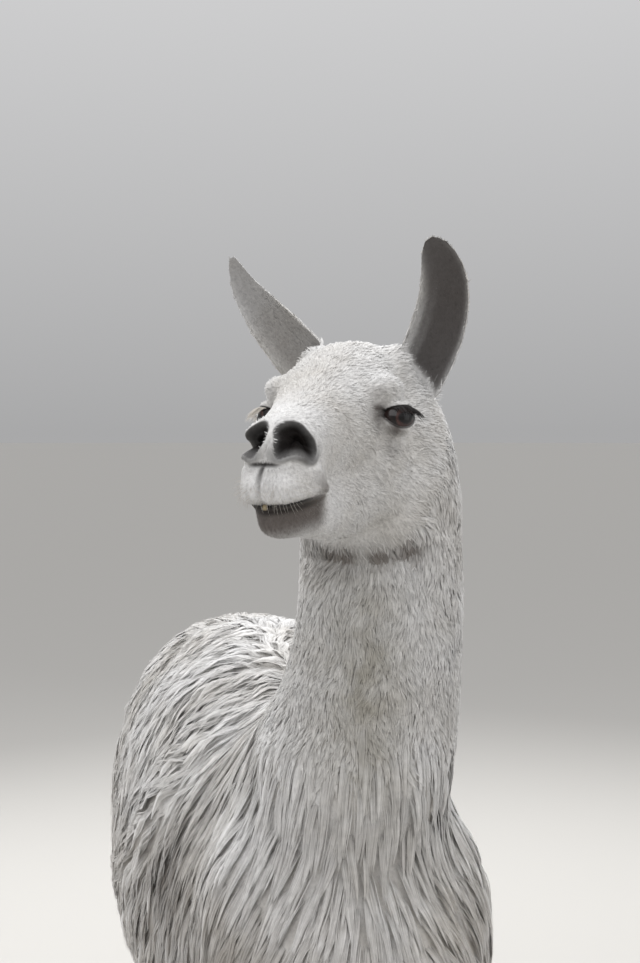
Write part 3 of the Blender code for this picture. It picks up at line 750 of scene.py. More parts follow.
def wet_eye():
    """Cornea over a brown iris: it gives the eye a deep, dark, mirror-bright surface."""
    made, shader = new_material("eyeball, wet")
    place = add_node(made, "TexCoord").outputs["Object"]
    scaled = add_node(made, "VectorMath", {"Vector": place, "Scale": 1 / EYE_RADIUS}, operation="SCALE")
    parts = add_node(made, "SeparateXYZ", {"Vector": scaled}).outputs
    flat = add_node(made, "CombineXYZ", {"X": parts["X"], "Y": parts["Y"]})
    reach = add_node(made, "VectorMath", {"Vector": flat}, operation="LENGTH").outputs["Value"]
    rays = add_node(made, "TexNoise", {"Scale": 9.0, "Detail": 4.0, "Vector": flat})
    ramp = add_node(made, "ValToRGB", {"Fac": reach})
    for stop, (position, tone) in zip(ramp.color_ramp.elements, IRIS_TONES):
        stop.position = position
        stop.color = linear(tone)
    for position, tone in RIM_TONES:
        ramp.color_ramp.elements.new(position).color = linear(tone)
    streaks = {"Factor": 0.7, "A": ramp, "B": rays}
    streaked = add_node(made, "Mix", streaks, data_type="RGBA", blend_type="MULTIPLY").outputs["Result"]
    squeeze = (1 / PUPIL[0], 1 / PUPIL[1], 0)
    squeezed = add_node(made, "VectorMath", {0: scaled, 1: squeeze}, operation="MULTIPLY")
    slot = add_node(made, "VectorMath", {"Vector": squeezed}, operation="LENGTH").outputs["Value"]
    edge = add_node(made, "MapRange", {0: slot, 1: 0.9, 2: 1.12, 3: 1.0, 4: 0.0})
    pupil = {"Factor": edge, "A": streaked, "B": linear("#060405")}
    seen = add_node(made, "Mix", pupil, data_type="RGBA").outputs["Result"]
    feed(shader, {"Base Color": seen, "Roughness": 0.12, "IOR": 1.38})
    feed(shader, {"Coat Weight": 0.35, "Coat Roughness": 0.03})
    return made


eye_finish = wet_eye()
for side_name, side in (("left", 1), ("right", -1)):
    ball = bmesh.new()
    bmesh.ops.create_uvsphere(ball, u_segments=64, v_segments=40, radius=EYE_RADIUS)
    for point in ball.verts:
        off_axis = math.hypot(point.co.x, point.co.y) / (IRIS_SHARE * EYE_RADIUS)
        if point.co.z > 0 and off_axis < 1:
            point.co *= 1 + DOME * (1 - off_axis**2)
    eyeball = add_piece(f"eyeball_{side_name}", as_mesh(f"eyeball_{side_name}", ball), eye_finish)
    ahead, outer, up = eye_axes(side) @ head_axes
    turned = Matrix([outer * side, np.cross(ahead, outer * side), ahead]).transposed()
    eyeball.matrix_world = Matrix.Translation(eye_middles[side_name]) @ turned.to_4x4()
    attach(eyeball, "root")
    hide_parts(f"eye_{side_name}")


# ---------------------------------------------------------------- Toenails
# Each toe ends in a blunt nail of dark horn, grown in layers from the toe and scuffed by the ground.

NAIL_TAPER, NAIL_FALL = 0.25, 0.22  # how much narrower and lower it is at its front

def worn_horn():
    """Keratin, ground down by walking: fine growth rings and a dull, scuffed shine."""
    made, shader = new_material("toenail horn, scuffed")
    place = add_node(made, "TexCoord").outputs["Object"]
    growth = {"Scale": 70.0, "Distortion": 1.6, "Detail": 3.0, "Vector": place}
    rings = add_node(made, "TexWave", growth, bands_direction="Y").outputs["Fac"]
    tone = add_node(made, "ValToRGB", {"Fac": rings})
    tone.color_ramp.elements[0].color = linear("#2B2520")
    tone.color_ramp.elements[1].color = linear("#423932")
    bump = add_node(made, "Bump", {"Strength": 0.12, "Distance": 0.0004, "Height": rings})
    feed(shader, {"Base Color": tone, "Roughness": 0.45, "Normal": bump})
    return made


horn = worn_horn()
for n in sorted(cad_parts):
    if n.startswith("nail_"):
        low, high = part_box(n)
        half = (high - low) / 2
        claw = bmesh.new()
        bmesh.ops.create_uvsphere(claw, u_segments=32, v_segments=20, radius=1)
        for point in claw.verts:
            x, y, z = point.co
            ahead = max(-y, 0)
            point.co = (x * half.x * (1 - NAIL_TAPER * ahead), y * half.y, (z - NAIL_FALL * ahead) * half.z)
            point.co.z = max(point.co.z, -half.z)
        claw_mesh = as_mesh(f"claw{n[4:]}", claw)
        claw_mesh.transform(Matrix.Translation((low + high) / 2))
        claw_piece = add_piece(f"claw{n[4:]}", claw_mesh, horn)
        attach(claw_piece, "root")
        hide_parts(n)


# ---------------------------------------------------------------- Fleece of the trunk
# Long crimped wool hangs in soft wavy locks from a parting along the spine. Each lock is a few staples
# that grow apart and draw together towards the tip, and each lies over the ones below it.

chance = np.random.default_rng(7)
hide_tree = KDTree(len(hide_places))
for index, place in enumerate(hide_places.tolist()):
    hide_tree.insert(place, index)
hide_tree.balance()
hide_mesh.calc_loop_triangles()
hide_corners = read(hide_mesh.loop_triangles, "vertices", 3, np.int32)
hide_marked = np.stack(list(hide_marks.values()), axis=1)


def unit(vectors):
    """Vectors at length 1."""
    return vectors / np.maximum(np.linalg.norm(vectors, axis=-1, keepdims=True), 1e-9)


def lie_of_coat():
    """The way the hair lies at each point of the hide: along it, away from the nose and down."""
    x, y, z = hide_places.T
    ones, none = np.ones(len(x)), np.zeros(len(x))
    local = to_head(hide_places)
    face = np.stack([0.25 * np.sign(local[:, 0]), ones, -0.30 * ones + 3.0 * local[:, 2]], axis=1)
    lip = np.stack([14 * from_middle(local), 0.5 * ones, -0.9 * ones], axis=1)
    lips = smooth_step(-0.045, -0.060, local[:, 2]) * smooth_step(-0.11, -0.14, local[:, 1])
    ear = np.where(local[:, :1] > 0, (0.30, 0.02, 0.95), (-0.62, 0.02, 0.78))
    fan = smooth_step(1.10, 0.85, z)
    front = smooth_step(-0.14, -0.28, y)
    sideways = np.clip(x / 0.10, -1, 1) * (0.75 - 0.35 * front)
    lies = {
        "trunk": np.stack([sideways, 0.35 * (1 - front), -ones], axis=1),
        "neck": np.stack([np.clip(x / 0.10, -1, 1) * 0.4 * fan, 0.12 * (1 - fan), -ones], axis=1),
        "head": (face + (lip - face) * lips[:, None]) @ head_axes,
        "ear": ear @ head_axes,
        "foot": np.stack([none, -0.5 * ones, -0.8 * ones], axis=1),
    }
    lie = np.stack([none, 0.10 * ones, -ones], axis=1)
    for word, found in lies.items():
        lie[hide_words == word] = unit(found[hide_words == word])
    lie = evened(unit(lie), hide_ends, 30)
    return unit(lie - hide_normals * (lie * hide_normals).sum(axis=1, keepdims=True))


hide_lie = lie_of_coat()


def rooted(count, weight):
    """Evenly strewn roots, denser where the weight is more: places, outward, the coat's lie, the marks."""
    a, b, c = hide_places[hide_corners].transpose(1, 0, 2)
    area = np.linalg.norm(np.cross(b - a, c - a), axis=1) / 2
    reach = np.cumsum(area * weight[hide_corners].mean(axis=1))
    at = (np.arange(count) + chance.random(count)) / count * reach[-1]
    corners = hide_corners[np.searchsorted(reach, np.minimum(at, reach[-1] * (1 - 1e-9)))]
    a, b = np.sqrt(chance.random(count)), chance.random(count)
    shares = np.stack([1 - a, a * (1 - b), a * b], axis=1)[:, :, None]
    fields = (hide_places, hide_normals, hide_lie, hide_marked)
    places, outward, way, marks = ((field[corners] * shares).sum(axis=1) for field in fields)
    return places, unit(outward), unit(way), marks


def points_under(places):
    """The point of the hide nearest to each place."""
    return np.array([hide_tree.find(p)[1] for p in places.tolist()])


def turned_aside(outward, way, angle):
    """The lie, turned along the hide by an angle."""
    return way * np.cos(angle)[:, None] + np.cross(outward, way) * np.sin(angle)[:, None]


def crept(roots, outward, way, steps, stride):
    """Walks from each root over the hide along the lie: the places, and the way out of the hide at each."""
    at, spine, ups = roots, [roots], [outward]
    for _ in range(steps):
        at = at + way * stride[:, None]
        near = points_under(at)
        up = hide_normals[near]
        at = at - up * ((at - hide_places[near]) * up).sum(axis=1, keepdims=True)
        way = unit(way + 0.20 * hide_lie[near])
        way = unit(way - up * (way * up).sum(axis=1, keepdims=True))
        spine.append(at)
        ups.append(up)
    spine, ups = np.stack(spine, axis=1), np.stack(ups, axis=1)
    for path in (spine, ups) * 3:
        path[:, 1:-1] = (path[:, :-2] + 2 * path[:, 1:-1] + path[:, 2:]) / 4
    return spine, unit(ups)


def locks(roots, outward, way, length, rise, rings, staples, spread, wave, wavelength, gather):
    """Locks that creep over the hide: each is several staples round one path, the first its broad core."""
    spine, ups = crept(roots, outward, way, rings, length / rings)
    s = np.arange(rings + 1) / rings
    height = rise[:, None] * (1 - (1 - s) ** 3 - 0.30 * s**2)
    spine = spine + ups * (height - 0.002 * (s == 0))[:, :, None]
    across = unit(np.cross(unit(np.gradient(spine, axis=1)), ups))
    spine, ups, across, length = (np.repeat(field, staples, axis=0) for field in (spine, ups, across, length))
    angle = chance.random(len(spine)) * 2 * math.pi
    off = np.sqrt(chance.random(len(spine))) * spread
    drawn = 1 - gather * s * chance.uniform(0.6, 1.0, len(spine))[:, None]
    phase = np.repeat(chance.random(len(roots)), staples) * 2 * math.pi + chance.normal(0, 0.6, len(spine))
    size = wave * np.repeat(0.5 + chance.random(len(roots)), staples)[:, None] * smooth_step(0, 0.3, s)
    swing = 2 * math.pi * s * (length / wavelength)[:, None] + phase[:, None]
    sideways = (np.cos(angle) * off)[:, None] * drawn + size * np.sin(swing)
    upwards = (np.sin(angle) * off * 0.18)[:, None] * drawn + 0.5 * size * np.cos(swing)
    is_core = np.arange(len(spine)) % staples == 0
    sideways[is_core] -= (np.cos(angle) * off * drawn.T).T[is_core]
    upwards[is_core] = -0.0015
    return spine + across * sideways[:, :, None] + ups * upwards[:, :, None], ups


PATCH = 0.003  # of the map, for each strand
COAT_THICKNESS = 0.16  # of a strand of the coat, by its width
SOFTNESS = 0.65  # how far a strand's shading follows the body's form, as that of many fine hairs does


def hair_mesh(name, thickness, spines, ups, widths, spots, marks):
    """Closed tapering strands as one mesh. Spines end in a tip, ups face out, spots are places on the map."""
    count, rings = widths.shape
    tangents = unit(np.gradient(spines, axis=1)[:, :rings])
    across = unit(np.cross(tangents, ups[:, :rings]))
    roll = chance.uniform(-0.5, 0.5, (count, 1, 1))
    across = across * np.cos(roll) + np.cross(tangents, across) * np.sin(roll)
    half = across * widths[:, :, None] / 2
    ridge = np.cross(across, tangents) * np.minimum(widths * thickness, 0.0007)[:, :, None]
    base = spines[:, :rings]
    rounds = np.stack([base + half, base - half, base + ridge], axis=2).reshape(count, rings * 3, 3)
    points = np.concatenate([rounds, spines[:, rings:]], axis=1)
    each = rings * 3 + 1
    loops, sizes, upper = [1, 0, 2], [3], [0]
    for r in range(0, rings * 3, 3):
        for a, b in ((1, 0), (0, 2), (2, 1)):
            onward = [r + 3 + a, r + 3 + b] if r + 4 < each else [each - 1]
            loops += [r + b, r + a, *onward]
            sizes.append(2 + len(onward))
            upper.append(int(2 in (a, b)))
    corner_points = (np.arange(count)[:, None] * each + np.array(loops)).ravel()
    face_sizes = np.tile(sizes, count)
    mesh = bpy.data.meshes.new(name)
    mesh.vertices.add(count * each)
    mesh.vertices.foreach_set("co", points.astype(np.float32).ravel())
    mesh.loops.add(len(corner_points))
    mesh.loops.foreach_set("vertex_index", corner_points.astype(np.int32))
    mesh.polygons.add(len(face_sizes))
    mesh.polygons.foreach_set("loop_start", (np.cumsum(face_sizes) - face_sizes).astype(np.int32))
    mesh.polygons.foreach_set("loop_total", face_sizes.astype(np.int32))
    mesh.update(calc_edges=True)
    mesh.shade_smooth()
    facing = np.concatenate([np.repeat(ups[:, :rings], 3, axis=1), ups[:, rings:]], axis=1).reshape(-1, 3)
    lit = unit(normals_of(mesh) * (1 - SOFTNESS) + facing * SOFTNESS)[corner_points]
    lit[np.tile(np.repeat(upper, sizes), count) == 0] *= -1
    mesh.normals_split_custom_set(lit)
    along = np.append(np.repeat(np.arange(rings) / rings, 3), 1.0)
    beside = np.append(np.tile((1.0, 0.0, 0.5), rings), 0.5)
    places = spots[:, None] + np.stack([beside, along], axis=1) * PATCH
    unwrap = mesh.uv_layers.new(name="OFBake")
    unwrap.data.foreach_set("uv", places.reshape(-1, 2)[corner_points].astype(np.float32).ravel())
    full = widths.max(axis=1)[:, None] * 1000
    across_by = (full * (beside - 0.5)).ravel()
    held = {key: np.repeat(marks[:, k], each) for k, key in enumerate(hide_marks)}
    shade = np.repeat(chance.random(count), each)
    add_marks(mesh, {**held, "along": np.tile(along, count), "beside": across_by, "shade": shade})
    return mesh


def add_hair(name, thickness, finish, *strands):
    """Strands as one piece of the model."""
    piece = add_piece(name, hair_mesh(name, thickness, *strands), finish)
    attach(piece, "root")


def add_coat(name, spines, ups, widths, marks, round_and_along, finish, parts=1):
    """Strands as pieces of the model, each strand mapped where its root is on an unwrap of the hide."""
    spread = np.stack(round_and_along, axis=1)
    spread = (spread - spread.min(axis=0)) / np.ptp(spread, axis=0)
    spots = 0.002 + spread * (0.996 - PATCH)
    for part, chosen in enumerate(np.array_split(np.argsort(spread[:, 1]), parts)):
        label = f"{name}_{part + 1}" if parts > 1 else name
        add_hair(label, COAT_THICKNESS, finish, *(f[chosen] for f in (spines, ups, widths, spots, marks)))


def tapered(narrow, wide, rings, every, core):
    """Each strand's width at its rings: it swells from the root and draws in to the tip. Cores are wider."""
    s = np.arange(rings) / rings
    widths = chance.uniform(narrow, wide)
    widths[::every] *= core
    return widths[:, None] * (np.minimum(0.55 + 1.6 * s, 1.0) * (1 - 0.85 * s**1.4))


def hair_finish(name, broad, fine, painted_root_shade, sheen, hairs):
    """Hair: it gives the eye a soft white with painted shade deepening towards the root, streaked by the
    single hairs.
    """
    made, shader = new_material(name)
    colour = hair_colour(made, broad, fine)
    along, beside, shade = (
        add_node(made, "Attribute", attribute_name=key).outputs["Fac"] for key in ("along", "beside", "shade")
    )
    spot = add_node(made, "CombineXYZ", {"X": beside, "Y": along, "Z": shade})
    drawn_out = add_node(made, "VectorMath", {0: spot, 1: (hairs, 0.8, 90.0)}, operation="MULTIPLY")
    streaks = add_node(made, "TexNoise", {"Scale": 1.0, "Detail": 1.0, "Vector": drawn_out})
    # painted shade: each strand darker towards its root, where the coat shades itself
    tone = add_node(made, "MapRange", {0: along, 1: 0.0, 2: 0.6, 3: painted_root_shade, 4: 1.0})
    for source, low, high in ((shade, 0.92, 1.04), (streaks, 0.55, 1.40)):
        own = add_node(made, "MapRange", {0: source, 3: low, 4: high})
        tone = add_node(made, "Math", {0: tone, 1: own}, operation="MULTIPLY")
    toned = add_node(made, "VectorMath", {"Vector": colour, "Scale": tone}, operation="SCALE")
    feed(shader, {"Base Color": toned, "Roughness": 0.75, "Specular IOR Level": 0.2})
    feed(shader, {"Sheen Weight": sheen, "Sheen Roughness": 0.45})
    return made


def on_top_of_spine(places):
    """1 along the parting of the back, where locks fall both ways, and 0 away from it."""
    return bell(places[:, 0], 0, 0.030) * (places[:, 2] > 1.0)


wool = hair_finish(
    "fleece, crimped staples of wool", broad=7.0, fine=110.0, painted_root_shade=0.86, sheen=0.65, hairs=1.5
)
TRUNK_LOCKS, TRUNK_STAPLES, TRUNK_RINGS = 2900, 6, 5
in_front = smooth_step(-0.14, -0.28, hide_places[:, 1])
under = smooth_step(-0.55, -0.95, hide_normals[:, 2])
on_top = smooth_step(0.3, 0.9, hide_normals[:, 2])
high_thigh = smooth_step(0.56, 0.66, hide_places[:, 2])
trunk_share = region("trunk") * (1 - in_front) + 0.8 * region("thigh") * high_thigh
density = 1 - 0.4 * under + 0.9 * on_top + 1.5 * on_top_of_spine(hide_places)
roots, outward, way, _ = rooted(TRUNK_LOCKS, trunk_share * density)
bend = 0.38 * np.sin(roots @ (11.0, 23.0, 17.0)) + 0.26 * np.sin(roots @ (-31.0, 13.0, 27.0) + 1.0)
astray = 0.10 + 1.0 * on_top_of_spine(roots)
way = turned_aside(outward, way, bend + astray * chance.normal(0, 1, TRUNK_LOCKS))
lengths = chance.uniform(0.070, 0.105, TRUNK_LOCKS) * (1 - 0.35 * smooth_step(0.95, 1.15, roots[:, 2]))
rises = 0.020 * chance.uniform(0.45, 0.80, TRUNK_LOCKS)
form = {"rings": TRUNK_RINGS, "staples": TRUNK_STAPLES, "spread": 0.0110, "gather": 0.88}
spines, ups = locks(roots, outward, way, lengths, rises, wave=0.0050, wavelength=0.075, **form)
marks = hide_marked[points_under(spines[:, 3])]
widths = tapered(np.full(len(spines), 0.0010), 0.0022, TRUNK_RINGS, every=TRUNK_STAPLES, core=8.5)
turn = np.arctan2(spines[:, 0, 0], spines[:, 0, 2] - 0.85)
add_coat("fleece_trunk", spines, ups, widths, marks, (turn, spines[:, 0, 1]), wool, parts=4)


# ---------------------------------------------------------------- Fleece of the chest
# Long straight wool falls from the foot of the neck over the chest and shoulders, in thin locks that fan
# out and hang a little clear of each other at their tips.

CHEST_LOCKS, CHEST_STAPLES, CHEST_RINGS = 1500, 6, 5
low_neck = smooth_step(1.13, 1.00, hide_places[:, 2])
chest_share = region("trunk") * in_front + region("neck") * low_neck
roots, outward, way, _ = rooted(CHEST_LOCKS, chest_share * (1 - 0.4 * under + 1.5 * on_top))
way = turned_aside(outward, way, chance.normal(0, 0.10, CHEST_LOCKS))
lengths = chance.uniform(0.060, 0.095, CHEST_LOCKS)
rises = (0.018 - 0.008 * smooth_step(0.95, 1.10, roots[:, 2])) * chance.uniform(0.45, 0.70, CHEST_LOCKS)
form = {"rings": CHEST_RINGS, "staples": CHEST_STAPLES, "spread": 0.0080, "gather": 0.55}
spines, ups = locks(roots, outward, way, lengths, rises, wave=0.0010, wavelength=0.110, **form)
marks = hide_marked[points_under(spines[:, 3])]
widths = tapered(np.full(len(spines), 0.0008), 0.0017, CHEST_RINGS, every=CHEST_STAPLES, core=9.0)
turn = np.arctan2(spines[:, 0, 0], -spines[:, 0, 1])
add_coat("fleece_chest", spines, ups, widths, marks, (turn, spines[:, 0, 2]), wool, parts=2)


# ---------------------------------------------------------------- Plush of the neck
# The neck's wool is short, straight and close, a plush that lies down the neck and shows a soft edge.


def tufts(roots, outward, way, length, lift, rings):
    """Short hair in single tufts, which rise from the hide and bend over along the lie."""
    s = np.arange(rings + 1) / rings
    height = lift[:, None] * np.sin(np.minimum(1.9 * s, 1.3 + 0.27 * s)) - 0.0008 * (s == 0)
    along = way[:, None] * (length[:, None] * s)[:, :, None]
    spines = roots[:, None] + along + outward[:, None] * height[:, :, None]
    return spines, np.repeat(outward[:, None], rings + 1, axis=1)


plush = hair_finish(
    "neck plush, short close wool", broad=7.0, fine=130.0, painted_root_shade=0.92, sheen=0.85, hairs=1.8
)
NECK_TUFTS, NECK_RINGS = 25000, 2
from_nose = apart(to_head(hide_places), MUZZLE_MIDDLE)
jowl = region("head") * smooth_step(0.235, 0.300, from_nose)
roots, outward, way, _ = rooted(NECK_TUFTS, region("neck") * (1 - low_neck) + jowl)
bend = 0.22 * np.sin(roots @ (61.0, 43.0, 57.0)) + 0.18 * np.sin(roots @ (-91.0, 73.0, 47.0) + 1.0)
way = turned_aside(outward, way, bend + chance.normal(0, 0.20, NECK_TUFTS))
lengths = chance.uniform(0.016, 0.027, NECK_TUFTS)
lifts = chance.uniform(0.0030, 0.0058, NECK_TUFTS)
lifts[::3] *= 0.55
lifts *= 1 - 0.35 * smooth_step(1.22, 1.32, roots[:, 2])
spines, ups = tufts(roots, outward, way, lengths, lifts, NECK_RINGS)
marks = hide_marked[points_under(spines[:, 1])]
widths = tapered(np.full(NECK_TUFTS, 0.0012), 0.0022, NECK_RINGS, every=3, core=4.8)
turn = np.arctan2(roots[:, 0], -(roots[:, 1] + 0.47))
add_coat("plush_neck", spines, ups, widths, marks, (turn, roots[:, 2]), plush, parts=2)


# ---------------------------------------------------------------- Fur of the face
# The face wears short fur that lies back from the nose, finest on the lips and lids and longer on the
# cheeks and the crown. The nostrils' edges, the parting of the lips and the lids' rims are bare.

face_fur = hair_finish(
    "face fur, short and fine", broad=9.0, fine=160.0, painted_root_shade=0.96, sheen=0.40, hairs=2.5
)
LIP_MIDDLE = (0, -0.16, -0.07)


def face_length(local):
    """How long the fur is at each place on the head."""
    from_lip = apart(local, LIP_MIDDLE)
    length = 0.0035 + 0.0060 * smooth_step(0.02, 0.14, from_lip) + 0.0060 * smooth_step(0.18, 0.32, from_lip)
    length = length * (0.5 + 0.5 * smooth_step(0.018, 0.040, apart(mirrored(local), eye_place(1))))
    return length * (0.45 + 0.55 * smooth_step(0.008, 0.024, apart(mirrored(local), INNER_CORNER)))


FACE_TUFTS, FACE_RINGS = 23000, 2
covered = 1 - smooth_step(0.15, 0.5, hide_marks["mark_dark_skin_and_shade"])
before_jowl = smooth_step(0.315, 0.270, from_nose)
face_share = region("head", rounds=6) * covered * before_jowl / face_length(to_head(hide_places))
roots, outward, way, marks = rooted(FACE_TUFTS, face_share)
bend = 0.20 * np.sin(roots @ (101.0, 83.0, 67.0)) + chance.normal(0, 0.22, FACE_TUFTS)
way = turned_aside(outward, way, bend)
local = to_head(roots)
lengths = face_length(local) * chance.uniform(0.7, 1.3, FACE_TUFTS)
lifts = lengths * chance.uniform(0.05, 0.17, FACE_TUFTS)
spines, ups = tufts(roots, outward, way, lengths, lifts, FACE_RINGS)
widths = tapered(lengths * 0.08 + 0.0003, lengths * 0.13 + 0.0003, FACE_RINGS, every=4, core=2.2)
turn = np.arctan2(local[:, 0], local[:, 2])
add_coat("fur_face", spines, ups, widths, marks, (turn, local[:, 1]), face_fur, parts=2)


# ---------------------------------------------------------------- Fur of the ears
# Short hair covers the back of each ear and runs up to its tip. The cup has only a thin down, darkened
# with painted shade, with longer white hair at its root.

EAR_TUFTS, EAR_RINGS = 4500, 2
ear_share = region("ear", rounds=4) * (1 - 0.6 * hide_marks["mark_ear_cup_shade"])
roots, outward, way, marks = rooted(EAR_TUFTS, ear_share)
way = turned_aside(outward, way, chance.normal(0, 0.20, EAR_TUFTS))
local = to_head(roots)
in_cup = marks[:, list(hide_marks).index("mark_ear_cup_shade")]
lengths = chance.uniform(0.007, 0.013, EAR_TUFTS) * (1 - 0.5 * smooth_step(0.10, 0.19, local[:, 2]))
lengths = lengths * (1 - 0.5 * smooth_step(0.05, 0.4, in_cup))
lifts = lengths * chance.uniform(0.04, 0.16, EAR_TUFTS)
spines, ups = tufts(roots, outward, way, lengths, lifts, EAR_RINGS)
widths = tapered(np.full(EAR_TUFTS, 0.0010), 0.0017, EAR_RINGS, every=4, core=2.0)
ear_turn = np.arctan2(np.abs(local[:, 0]) - 0.09, local[:, 1] - 0.09) + np.where(local[:, 0] > 0, 7, 0)
add_coat("fur_ears", spines, ups, widths, marks, (ear_turn, local[:, 2]), face_fur)


# ---------------------------------------------------------------- Fur of the legs
# Wool covers the upper legs and shortens to close hair over the cannons and feet, lying down the leg.

LEG_TUFTS, LEG_RINGS = 9500, 3
leg_share = region("forearm", "cannon", "foot") + region("thigh") * (1 - 0.8 * high_thigh)
shortness = smooth_step(0.50, 0.25, hide_places[:, 2])
clear_of_nails = smooth_step(0.006, 0.020, hide_places[:, 2])
roots, outward, way, marks = rooted(LEG_TUFTS, leg_share * (1 + shortness) * clear_of_nails)
way = turned_aside(outward, way, chance.normal(0, 0.20, LEG_TUFTS))
shortness = smooth_step(0.55, 0.20, roots[:, 2])
lengths = (0.034 - 0.022 * shortness) * chance.uniform(0.7, 1.2, LEG_TUFTS)
lengths = lengths * (1 - 0.45 * smooth_step(0.09, 0.04, roots[:, 2]))
lifts = lengths * chance.uniform(0.12, 0.32, LEG_TUFTS) * (1 - 0.35 * shortness)
spines, ups = tufts(roots, outward, way, lengths, lifts, LEG_RINGS)
leg_width = 0.0042 - 0.0026 * shortness
widths = tapered(leg_width * 0.7, leg_width, LEG_RINGS, every=3, core=2.6)
leg_middles = np.stack([np.sign(roots[:, 0]) * 0.11, np.where(roots[:, 1] > 0, 0.42, -0.34)], axis=1)
leg_turn = np.arctan2(*(roots[:, :2] - leg_middles).T) + 7 * ((roots[:, 0] > 0) + 2 * (roots[:, 1] > 0))
add_coat("fur_legs", spines, ups, widths, marks, (leg_turn, roots[:, 2]), wool, parts=2)


# ---------------------------------------------------------------- Fleece of the tail
# The tail hangs in long straight wool that hides its shape.

TAIL_LOCKS, TAIL_STAPLES, TAIL_RINGS = 230, 6, 4
roots, outward, way, _ = rooted(TAIL_LOCKS, region("tail", rounds=4))
lengths = chance.uniform(0.045, 0.075, TAIL_LOCKS)
rises = chance.uniform(0.004, 0.011, TAIL_LOCKS)
form = {"rings": TAIL_RINGS, "staples": TAIL_STAPLES, "spread": 0.007, "gather": 0.60}
spines, ups = locks(roots, outward, way, lengths, rises, wave=0.0016, wavelength=0.070, **form)
marks = hide_marked[points_under(spines[:, 2])]
widths = tapered(np.full(len(spines), 0.0022), 0.0036, TAIL_RINGS, every=TAIL_STAPLES, core=3.6)
turn = np.arctan2(spines[:, 0, 0], spines[:, 0, 1] - 0.60)
add_coat("fleece_tail", spines, ups, widths, marks, (turn, spines[:, 0, 2]), wool)


# ---------------------------------------------------------------- Tooth
# One lower front tooth shows in the parting of the lips: a worn, yellowed chisel of enamel.

TOOTH_PLACE = (-0.0085, -0.1815, -0.0925)
TOOTH_SIZE = (0.0052, 0.0040, 0.0060)
TOOTH_ROUNDING = 0.0009


def worn_enamel():
    """Enamel, stained by cud: it gives the eye a small warm glint."""
    made, shader = new_material("tooth enamel, stained")
    place = add_node(made, "TexCoord").outputs["Object"]
    stain = add_node(made, "TexNoise", {"Scale": 300.0, "Vector": place})
    tone = add_node(made, "ValToRGB", {"Fac": stain})
    tone.color_ramp.elements[0].color = linear("#8C7A58")
    tone.color_ramp.elements[1].color = linear("#CFC2A4")
    feed(shader, {"Base Color": tone, "Roughness": 0.25})
    return made


chisel = bmesh.new()
bmesh.ops.create_cube(chisel, size=1)
for point in chisel.verts:
    point.co.y *= 0.6 if point.co.z > 0 else 1.0
    point.co = point.co * Vector(TOOTH_SIZE)
bmesh.ops.bevel(
    chisel, geom=[*chisel.edges], offset=TOOTH_ROUNDING, segments=4, affect="EDGES", clamp_overlap=True
)
tooth_mesh = as_mesh("tooth", chisel)
place_points(tooth_mesh, from_head(coordinates(tooth_mesh) + TOOTH_PLACE))
tooth = add_piece("tooth", tooth_mesh, worn_enamel())
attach(tooth, "root")


# ---------------------------------------------------------------- Lashes
# Long lashes grow from the rim of the upper lid and droop over the eye: dark over the llama's left eye,
# partly their own tone and partly painted shade, pale over its right.

LASHES, LASH_RINGS = 110, 4
HAIR_THICKNESS = 0.8  # of a single hair, by its width
LASH_WIDTH = 0.00075
LASH_TONES_AND_SHADE = {"left": "#1E1816", "right": "#CFC8BE"}
LASH_LENGTHS = {"left": (0.011, 0.018), "right": (0.015, 0.024)}


def plain_hair(name, hex_colour):
    """A single stiff hair: it gives the eye a smooth dark or pale line with a slight shine."""
    made, shader = new_material(name)
    along = add_node(made, "Attribute", attribute_name="along").outputs["Fac"]
    tone = add_node(made, "MapRange", {0: along, 3: 0.85, 4: 1.15})
    toned = add_node(made, "VectorMath", {0: linear(hex_colour)[:3], "Scale": tone}, operation="SCALE")
    feed(shader, {"Base Color": toned, "Roughness": 0.5})
    return made


def add_single_hairs(name, spines, ups, widths, finish):
    """Hairs too thick to lie in tufts, with no markings, mapped in a row."""
    count = len(spines)
    spots = np.stack([(np.arange(count) + 0.5) / (count + 1), np.full(count, 0.5)], axis=1)
    no_marks = np.zeros((count, len(hide_marks)))
    add_hair(name, HAIR_THICKNESS, finish, spines, ups, widths, spots, no_marks)


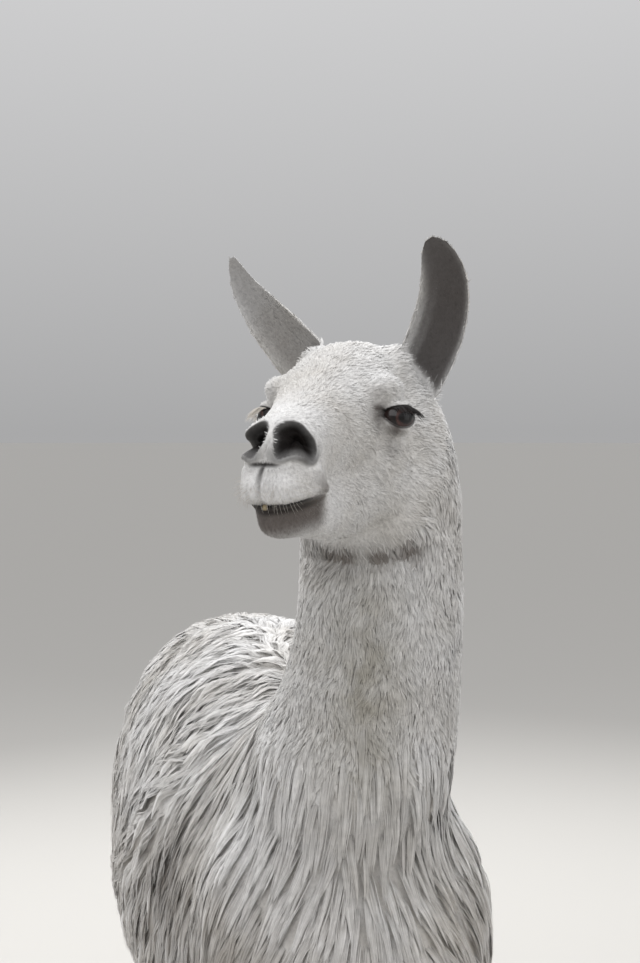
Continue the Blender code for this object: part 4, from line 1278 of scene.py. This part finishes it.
for side_name, side in (("left", 1), ("right", -1)):
    along = 1 - 1.5 * np.linspace(0.03, 1, LASHES) ** 1.5 + chance.normal(0, 0.015, LASHES)
    level = LID_LEVEL + LID_RISE * np.clip(1 - np.abs(along) ** 2.2, 0, None) ** 0.55
    turn = LID_MIDDLE + LID_HALF * along
    rim = np.stack([np.cos(level) * np.cos(turn), np.cos(level) * np.sin(turn), np.sin(level)], axis=1)
    shortest, longest = LASH_LENGTHS[side_name]
    lengths = chance.uniform(shortest, longest, LASHES) * (0.65 + 0.35 * smooth_step(-0.5, 0.2, along))
    s = np.arange(LASH_RINGS + 1) / LASH_RINGS
    ahead = rim * (1, 0.6, 0) + (0.05, 0.40, 0) + chance.normal(0, 0.12, (LASHES, 3))
    reach = (lengths[:, None] * s)[:, :, None]
    droop = np.stack([0 * s, 0 * s, 0.05 * s - 0.70 * s**1.5], axis=1)[None] * lengths[:, None, None]
    local = rim[:, None] * (EYE_RADIUS + 0.6 * LID_THICKNESS) + unit(ahead)[:, None] * reach * 0.85 + droop
    local = local @ eye_axes(side) + eye_place(side)
    ups = np.repeat((rim @ eye_axes(side) @ head_axes)[:, None], LASH_RINGS + 1, axis=1)
    widths = np.full((LASHES, 1), LASH_WIDTH) * (1 - 0.8 * s[:-1])
    hair = plain_hair(f"eyelash, {side_name}", LASH_TONES_AND_SHADE[side_name])
    add_single_hairs(f"lashes_{side_name}", from_head(local), ups, widths, hair)


# ---------------------------------------------------------------- Whiskers
# Sparse stiff hairs stand out from the lips, thin enough to catch the light at their edges.

WHISKERS, WHISKER_RINGS = 90, 3
WHISKER_WIDTH = 0.00038
local = to_head(hide_places)
around, above = from_mouth(local)
on_lips = smooth_step(0.085, 0.030, around) * smooth_step(0.030, 0.012, above)
on_lips = on_lips * smooth_step(-0.012, 0.002, above) * (local[:, 1] < -0.13)
roots, outward, way, _ = rooted(WHISKERS, on_lips * covered)
lengths = chance.uniform(0.006, 0.014, WHISKERS)[:, None]
s = (np.arange(WHISKER_RINGS + 1) / WHISKER_RINGS)[:, None]
lean = unit(outward + 0.55 * way + chance.normal(0, 0.22, (WHISKERS, 3)))
droop = 0.35 * lengths[:, None] * s**2
spines = roots[:, None] + lean[:, None] * (lengths[:, None] * s) + way[:, None] * droop
ups = np.repeat(outward[:, None], WHISKER_RINGS + 1, axis=1)
widths = np.full((WHISKERS, 1), WHISKER_WIDTH) * (1 - 0.7 * s[:-1, 0])
add_single_hairs("whiskers", spines, ups, widths, plain_hair("whisker, pale stiff hair", "#D8D2CA"))
